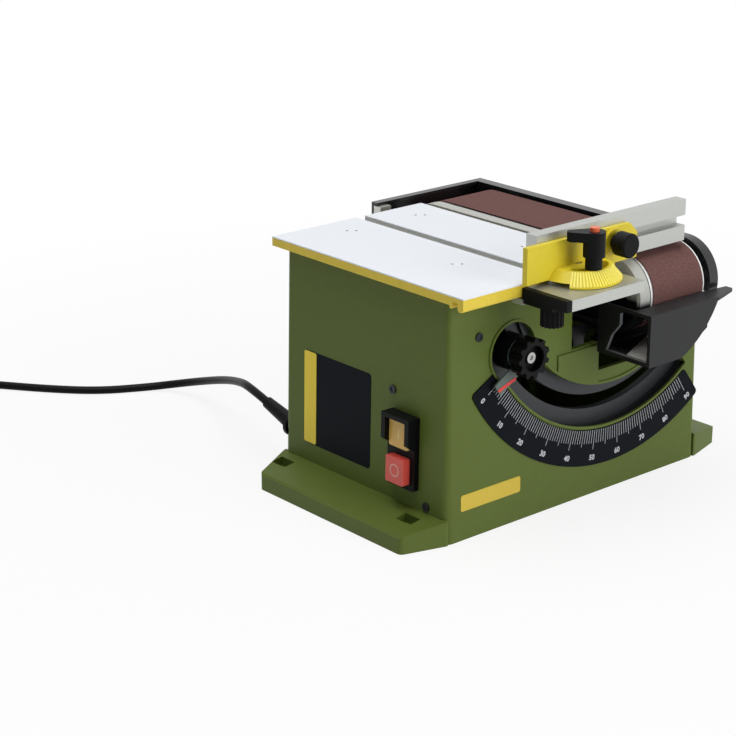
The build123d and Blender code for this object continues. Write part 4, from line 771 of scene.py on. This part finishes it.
# %% Bare plate and badge
FOIL = 0.2
PLATE_ACROSS = -21.6
PLATE_UP = 63.0
BAND_ACROSS = -49.2
BADGE_ACROSS = -80.5
BADGE_UP = 25.5
plate = sheet_mesh("rating_plate", width=68.8, height=66.0, corner=2.5, thickness=FOIL)
spot = on_wall(left_wall, PLATE_ACROSS, PLATE_UP)
place_piece("rating_plate", plate, spot, finishes["scale_black"], "base")
band = sheet_mesh("plate_band", width=12.5, height=65.0, corner=1.5, thickness=FOIL)
spot = on_wall(left_wall, BAND_ACROSS, PLATE_UP, FOIL)
place_piece("plate_band", band, spot, yellow_foil, "base")
badge = sheet_mesh("front_badge", width=53.0, height=11.0, corner=1.5, thickness=FOIL)
spot = on_wall(front_wall, BADGE_ACROSS, BADGE_UP)
place_piece("front_badge", badge, spot, gold_foil, "base")

# %% [markdown]
# The pointer carries a red line over the scale's zero. It rides on the tilting belt unit, as the pointer
# does, so it sweeps the scale when the belt is raised.

# %% Pointer line
LINE_INNER = (116.3, -145.3)
LINE_OUTER = (131.8, -147.2)
RED_WIDTH = 2.2
pointer_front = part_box("pointer")[0].y / MM
pointer_plane = wall_plane((PIVOT_X, pointer_front, PIVOT_Z), (1, 0, 0), (0, 0, 1))
ends = []
for radius, angle in (LINE_INNER, LINE_OUTER):
    turn = math.radians(angle)
    ends.append(Vector((radius * math.cos(turn), radius * math.sin(turn))))
run = ends[1] - ends[0]
line_middle = (ends[0] + ends[1]) / 2
line_turn = math.degrees(math.atan2(run.y, run.x))
red_line = sheet_mesh("pointer_line", run.length, RED_WIDTH, corner=0.5, thickness=FOIL)
spot = on_wall(pointer_plane, line_middle.x, line_middle.y, turn=line_turn)
place_piece("pointer_line", red_line, spot, red_ink, "belt_unit")

# %% [markdown]
# ## Signs on the switch
# OFF is a red button with a pale ring, and ON an amber one with a short bar. The signs stand a hair
# above the buttons' faces and ride on them, so they sink when a button is pressed.


# %% Button signs
def ring_mesh(name, outer, inner, thickness, steps=40):
    """A flat ring, given its sizes in millimetres, standing on its plane."""
    builder = bmesh.new()
    turns = [2 * math.pi * step / steps for step in range(steps)]
    rings = []
    for radius in (outer * MM, inner * MM):
        points = [(radius * math.cos(turn), radius * math.sin(turn), 0) for turn in turns]
        rings.append([builder.verts.new(point) for point in points])
    for step in range(steps):
        after = (step + 1) % steps
        builder.faces.new((rings[0][step], rings[0][after], rings[1][after], rings[1][step]))
    return thickened(name, builder, (0, 0, thickness))


SWITCH_ACROSS = 47.4
SWITCH_UP = 54.3
BUTTON_OFFSET = 12.2
ON_FACE = 6.5
OFF_FACE = 9.5
off_ring = ring_mesh("off_sign", outer=4.4, inner=3.4, thickness=INK)
spot = on_wall(left_wall, SWITCH_ACROSS, SWITCH_UP - BUTTON_OFFSET, OFF_FACE)
place_piece("off_sign", off_ring, spot, rose_ink, "off_button")
on_bar = sheet_mesh("on_sign", width=1.2, height=7.0, corner=0.3, thickness=INK)
spot = on_wall(left_wall, SWITCH_ACROSS, SWITCH_UP + BUTTON_OFFSET, ON_FACE)
place_piece("on_sign", on_bar, spot, cream_ink, "on_button")

# %% [markdown]
# ## Rim of the front drum
# A pale line parts the belt from the black guard. It is a painted highlight: a thin near-white ring on
# the drum's outer end, in the drum's own pale finish. The ring that drew the OFF sign draws it too. It
# stands on the drum's axis, a hair higher than the belt, and spins with the drum.

# %% Drum rim
RIM_GAP = 0.1
RIM_PROUD = 0.2
drum_low, drum_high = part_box("idler_roller")
belt_low, belt_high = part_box("sanding_belt")
drum_middle = (drum_low + drum_high) / 2 / MM
drum_radius = (drum_high.z - drum_low.z) / 2 / MM
belt_radius = (belt_high.z - belt_low.z) / 2 / MM
rim_start = belt_high.x / MM + RIM_GAP
rim_width = drum_high.x / MM - rim_start
rim = ring_mesh("drum_rim", belt_radius + RIM_PROUD, drum_radius, rim_width, steps=96)
rim_plane = wall_plane((rim_start, drum_middle.y, drum_middle.z), (0, 1, 0), (0, 0, 1))
place_piece("drum_rim", rim, rim_plane, drum_aluminium_painted_highlight, "idler_roller")

# %% [markdown]
# ## Ridges of the protractor
# The mitre head's bevel is cast with fine radial ridges. The tree that drew the scale's lines makes them
# too: slim bars round an axis, now leaning with the cone and all of one length. It leaves them round the
# origin, and a matrix moves them to the head's own turning axis. Their yellow is paler than the head's,
# a painted highlight on the bevel.

# %% Ridges on the bevel
HEAD_X = -30.0
HEAD_Y = -109.5
BEVEL_LOW = (28.0, 167.8)
BEVEL_HIGH = (20.5, 176.0)
RIDGE_COUNT = 29
RIDGE_FIRST = -146.0
RIDGE_STEP = 4.5
RIDGE_WIDTH = 0.9
RIDGE_HEIGHT = 0.45
RIDGE_MARGIN = 0.4
bevel_run = BEVEL_LOW[0] - BEVEL_HIGH[0]
bevel_rise = BEVEL_HIGH[1] - BEVEL_LOW[1]
ridge_length = math.hypot(bevel_run, bevel_rise) - 2 * RIDGE_MARGIN
bevel_middle = (BEVEL_LOW[0] + BEVEL_HIGH[0]) / 2
ridges = run_tree(
    "protractor_ridges",
    bars_tree,
    {
        "Count": RIDGE_COUNT,
        "First angle": math.radians(RIDGE_FIRST),
        "Step": math.radians(RIDGE_STEP),
        "Inner radius": (bevel_middle - ridge_length / 2) * MM,
        "Lean": math.atan2(bevel_rise, bevel_run),
        "Length": ridge_length * MM,
        "Width": RIDGE_WIDTH * MM,
        "Height": RIDGE_HEIGHT * MM,
        "Material": ridge_painted_highlight,
    },
)
bevel_height = (BEVEL_LOW[1] + BEVEL_HIGH[1]) / 2
spot = Matrix.Translation(Vector((HEAD_X, HEAD_Y, bevel_height)) * MM)
place_piece("protractor_ridges", ridges, spot, ridge_painted_highlight, "mitre_head")

# %% [markdown]
# ## Tension springs
# Two small springs push the front drum forward and keep the belt tight. A spring is a wire swept along a
# spiral, so a tree makes it from its turns, radius, length and wire. When the drum is pushed back for a
# new belt, a spring gets shorter: one end stays with the arm and the other goes with the slide. A rigid
# copy would run through the arm; the pair made here is one rigid mesh, tied to no body, in place of the
# hidden CAD springs.


# %% Spring tree
SPRING_SIZES = ("Turns", "Radius", "Length", "Wire radius")


def wound_spring():
    """A tree that sweeps a round wire along a spiral standing on Z."""
    tree = bpy.data.node_groups.new("wound spring", "GeometryNodeTree")
    for name in SPRING_SIZES:
        tree.interface.new_socket(name, in_out="INPUT", socket_type="NodeSocketFloat")
    tree.interface.new_socket("Material", in_out="INPUT", socket_type="NodeSocketMaterial")
    tree.interface.new_socket("Geometry", in_out="OUTPUT", socket_type="NodeSocketGeometry")
    size = add_node(tree, "NodeGroupInput").outputs
    spiral = add_node(
        tree,
        "GeometryNodeCurveSpiral",
        inputs={
            "Resolution": 24,
            "Rotations": size["Turns"],
            "Start Radius": size["Radius"],
            "End Radius": size["Radius"],
            "Height": size["Length"],
        },
    )
    wire = add_node(
        tree,
        "GeometryNodeCurvePrimitiveCircle",
        inputs={"Resolution": 10, "Radius": size["Wire radius"]},
    )
    swept = add_node(
        tree,
        "GeometryNodeCurveToMesh",
        inputs={"Curve": spiral, "Profile Curve": wire, "Fill Caps": True},
    )
    solid = add_node(tree, "GeometryNodeRealizeInstances", inputs={"Geometry": swept})
    coated = add_node(
        tree, "GeometryNodeSetMaterial", inputs={"Geometry": solid, "Material": size["Material"]}
    )
    add_node(tree, "NodeGroupOutput", inputs={"Geometry": coated})
    return tree


# %% Springs behind the drum's axle
SPRING_WIRE = 0.7
SPRING_TURNS = 4.0
springs_low, springs_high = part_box("tension_springs")
spring_outer = (springs_high.z - springs_low.z) / 2
spring_middle = (springs_high.z + springs_low.z) / 2
spring_length = springs_high.y - springs_low.y - SPRING_WIRE * MM
one_spring = run_tree(
    "one_spring",
    wound_spring(),
    {
        "Turns": SPRING_TURNS,
        "Radius": spring_outer - SPRING_WIRE / 2 * MM,
        "Length": spring_length,
        "Wire radius": SPRING_WIRE / 2 * MM,
        "Material": finishes["spring_steel"],
    },
)
pair = bmesh.new()
for x in (springs_low.x + spring_outer, springs_high.x - spring_outer):
    copy = one_spring.copy()
    foot = Matrix.Translation((x, springs_high.y - SPRING_WIRE / 2 * MM, spring_middle))
    copy.transform(foot @ Matrix.Rotation(math.radians(90), 4, "X"))
    pair.from_mesh(copy)
bmesh.ops.recalc_face_normals(pair, faces=pair.faces)
coils_mesh = bpy.data.meshes.new("tension_coils")
pair.to_mesh(coils_mesh)
coils_mesh.materials.append(finishes["spring_steel"])
tension_coils = bpy.data.objects.new("tension_coils", coils_mesh)
scene.collection.objects.link(tension_coils)
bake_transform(tension_coils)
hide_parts("tension_springs")
print("tension_coils", len(coils_mesh.polygons), "faces")

# %% [markdown]
# ## Painted highlight and painted light in the dust hood
# The hood is open on the left, and the cut edge of that window is coloured pale as a painted highlight.
# On the floor lies a near-white sheet that paints the pool of light falling in through the window. Both
# are strips a fraction of a millimetre thick, laid on the CAD faces: a list of points across the hood,
# given a width along X or a depth along Z.

# %% Hood edge highlight and painted light patch
PATCH_SKIN = 0.25
HOOD_WALL = 2.5
hood_low, hood_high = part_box("dust_hood")
hood_left = hood_low.x / MM
hood_floor = hood_low.z / MM + HOOD_WALL
WINDOW_EDGE = [
    (-109.4, 133.9),
    (-109.4, 126.0),
    (-102.5, 117.4),
    (-98.1, 106.0),
    (-133.4, 106.0),
]
HIGHLIGHT_TO = [
    (-133.4, 106.25),
    (-98.4, 106.25),
    (-102.8, 117.5),
    (-109.7, 126.1),
    (-109.7, 133.9),
]
# Painted highlight: a pale strip along the window's cut edge.
edge_loop = [(hood_left, y, z) for y, z in WINDOW_EDGE + HIGHLIGHT_TO]
edge = prism_mesh("hood_edge", edge_loop, (HOOD_WALL, 0, 0))
place_piece("hood_edge", edge, Matrix.Identity(4), edge_painted_highlight, "belt_unit")
# Painted light: a near-white sheet on the hood's floor where light falls in through the window.
LIGHT_PATCH = [
    (14.0, -133.0),
    (41.5, -133.0),
    (41.5, -119.0),
    (56.0, -119.0),
    (56.0, -94.6),
    (14.0, -113.4),
]
light_patch = prism_mesh("hood_light_patch", [(x, y, hood_floor) for x, y in LIGHT_PATCH], (0, 0, PATCH_SKIN))
place_piece("hood_light_patch", light_patch, Matrix.Identity(4), painted_light_sheet, "belt_unit")

# %% [markdown]
# ## The cord
# The mains lead leaves the housing's rear corner through a tapered strain relief, drops to the bench and
# runs off to the left. What the picture doesn't show is wound into a flat coil in two layers, held by a
# tie, with the plug beside it. One smooth spline follows the same points as the CAD tube: the free run
# is a short given list, and the coil's turns come from its winding rule.

# %% Cord route
CORD_DIAMETER = 6.0
CORD_ROUTE = [
    (-111.0, 106.7, 41.4),
    (-111.0, 126.9, 47.1),
    (-98.0, 155.0, 40.5),
    (-83.0, 194.0, 28.0),
    (-76.0, 235.0, 14.0),
    (-82.0, 261.0, 6.0),
    (-96.0, 274.5, 3.2),
    (-129.5, 292.0, 3.1),
    (-156.7, 320.0, 3.3),
    (-187.4, 358.8, 4.0),
    (-208.7, 385.3, 4.0),
]
COIL_CENTRE = (-249.0, 362.0)
COIL_RADIUS = 46.0
COIL_PITCH = 6.6
COIL_TURNS_IN = 3.25
COIL_ENTRY = 37.5
COIL_LOW = 4.0
COIL_HIGH = 10.6
COIL_END = 180.0 + 360.0 * 7
COIL_STEP = 30.0
CORD_END = [(-297.6, 362.0, 10.6), (-297.74, 356.0, 10.6)]


def coil_point(angle):
    """A control point of the coil, set out far enough for the spline to pass the winding radius."""
    climb = COIL_ENTRY + 360 * COIL_TURNS_IN
    inner = COIL_RADIUS - COIL_PITCH * COIL_TURNS_IN
    share = min(max((angle - climb) / 180, 0), 1)
    if angle < climb:
        radius = COIL_RADIUS - COIL_PITCH * (angle - COIL_ENTRY) / 360
    else:
        radius = inner + COIL_PITCH * max(angle - climb - 180, 0) / 360
        radius -= COIL_PITCH / 4 * math.sin(math.pi * share)
    height = COIL_LOW + (COIL_HIGH - COIL_LOW) * share * share * (3 - 2 * share)
    reach = radius / math.cos(math.radians(COIL_STEP / 2))
    turn = math.radians(angle)
    x = COIL_CENTRE[0] + reach * math.cos(turn)
    return (x, COIL_CENTRE[1] + reach * math.sin(turn), height)


def cord_points():
    """The cord's control points: the free run, the coil's turns and the end at the plug."""
    steps = int((COIL_END - COIL_ENTRY) // COIL_STEP)
    turns = [coil_point(COIL_ENTRY + COIL_STEP * (n + 0.5)) for n in range(steps)]
    return CORD_ROUTE + turns + CORD_END


# %% Cord
def cord_curve():
    """The cord as one round spline."""
    curve = bpy.data.curves.new("mains_cord", "CURVE")
    curve.dimensions = "3D"
    points = cord_points()
    spline = curve.splines.new("NURBS")
    spline.points.add(len(points) - 1)
    for point, place in zip(spline.points, points):
        point.co = (*(Vector(place) * MM), 1.0)
    spline.order_u = 3
    spline.use_endpoint_u = True
    curve.bevel_depth = CORD_DIAMETER / 2 * MM
    curve.bevel_resolution = 4
    curve.resolution_u = 6
    curve.use_fill_caps = True
    piece = bpy.data.objects.new("mains_cord", curve)
    scene.collection.objects.link(piece)
    curve.materials.append(finishes["cord_black"])
    return piece


mains_cord = cord_curve()
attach(mains_cord, "base")
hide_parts("cord", "cord_coil")
print("cord points", len(mains_cord.data.splines[0].points))

# %% [markdown]
# ## Studio
# A white studio lights a wall from below as much as from above, because the floor throws half of its
# light back. So the lamps are few: a large, low key lamp from the front right, which makes the front
# face brighter than the side as in the photograph, a broad lamp overhead for the table, and a weaker
# one over the left side for the flange. The world gives hardly any light of its own, which keeps the
# hollows black. The floor and the world are white where the camera or a reflection sees them, and the
# floor keeps part of its shadow.


# %% White seen by the camera
def seen_rays(tree):
    """One for rays from the camera, a reflection or a clear body, and zero for light."""
    path = add_node(tree, "ShaderNodeLightPath").outputs
    larger = {"operation": "MAXIMUM"}
    seen = add_node(
        tree, "ShaderNodeMath", larger, {0: path["Is Camera Ray"], 1: path["Is Glossy Ray"]}
    )
    return add_node(tree, "ShaderNodeMath", larger, {0: seen, 1: path["Is Transmission Ray"]})


def white_world(light_strength):
    """A world that is white to the eye and gives only a little light."""
    world = bpy.data.worlds.new("studio")
    scene.world = world
    world.use_nodes = True
    tree = world.node_tree
    background = tree.nodes["Background"]
    background.inputs["Color"].default_value = linear("#FFFFFF")
    level = add_node(
        tree,
        "ShaderNodeMapRange",
        inputs={"Value": seen_rays(tree), "To Min": light_strength, "To Max": 1.0},
    )
    tree.links.new(level.outputs["Result"], background.inputs["Strength"])


def pale_floor(side, near, far, shadow_share):
    """A floor that fades to white between two distances in metres and keeps a share of its shadow."""
    mesh = bpy.data.meshes.new("floor")
    corners = [(-side, -side, 0), (side, -side, 0), (side, side, 0), (-side, side, 0)]
    mesh.from_pydata(corners, [], [(0, 1, 2, 3)])
    floor = bpy.data.objects.new("floor", mesh)
    scene.collection.objects.link(floor)
    material, tree, surface = new_material("pale floor", "#F4F4F4", 0.8, gloss=0.2)
    place = add_node(tree, "ShaderNodeTexCoord")
    distance = add_node(
        tree, "ShaderNodeVectorMath", {"operation": "LENGTH"}, {0: place.outputs["Object"]}
    )
    fade = add_node(
        tree,
        "ShaderNodeMapRange",
        inputs={
            "Value": distance.outputs["Value"],
            "From Min": near,
            "From Max": far,
            "To Min": 1 - shadow_share,
            "To Max": 1.0,
        },
    )
    share = add_node(
        tree, "ShaderNodeMath", {"operation": "MULTIPLY"}, {0: fade, 1: seen_rays(tree)}
    )
    white = add_node(tree, "ShaderNodeEmission")
    blend = add_node(
        tree,
        "ShaderNodeMixShader",
        inputs={0: share, 1: surface.outputs["BSDF"], 2: white.outputs["Emission"]},
    )
    tree.links.new(blend.outputs["Shader"], tree.nodes["Material Output"].inputs["Surface"])
    mesh.materials.append(material)


# %% Floor, world and lamps
LAMP_SIDE = 1.2
LAMP_TARGET = (0.0, 0.0, 0.1)
LAMPS = {
    "key": ((0.45, -1.7, 0.55), 19.0),
    "overhead": ((-0.1, 0.1, 1.6), 15.5),
    "left side": ((-0.55, -0.35, 1.5), 6.8),
}


def soft_lamp(name, place, power):
    """A square lamp at a place in metres, turned to the machine, with its power in watts."""
    data = bpy.data.lights.new(name, "AREA")
    data.shape = "SQUARE"
    data.size = LAMP_SIDE
    data.energy = power
    lamp = bpy.data.objects.new(name, data)
    scene.collection.objects.link(lamp)
    lamp.location = place
    aim = Vector(LAMP_TARGET) - Vector(place)
    lamp.rotation_euler = aim.to_track_quat("-Z", "Y").to_euler()


pale_floor(side=6.0, near=0.2, far=0.7, shadow_share=0.15)
white_world(light_strength=0.02)
for name, (place, power) in LAMPS.items():
    soft_lamp(name, place, power)
scene.view_settings.view_transform = "Standard"
print("lamps", len(LAMPS))
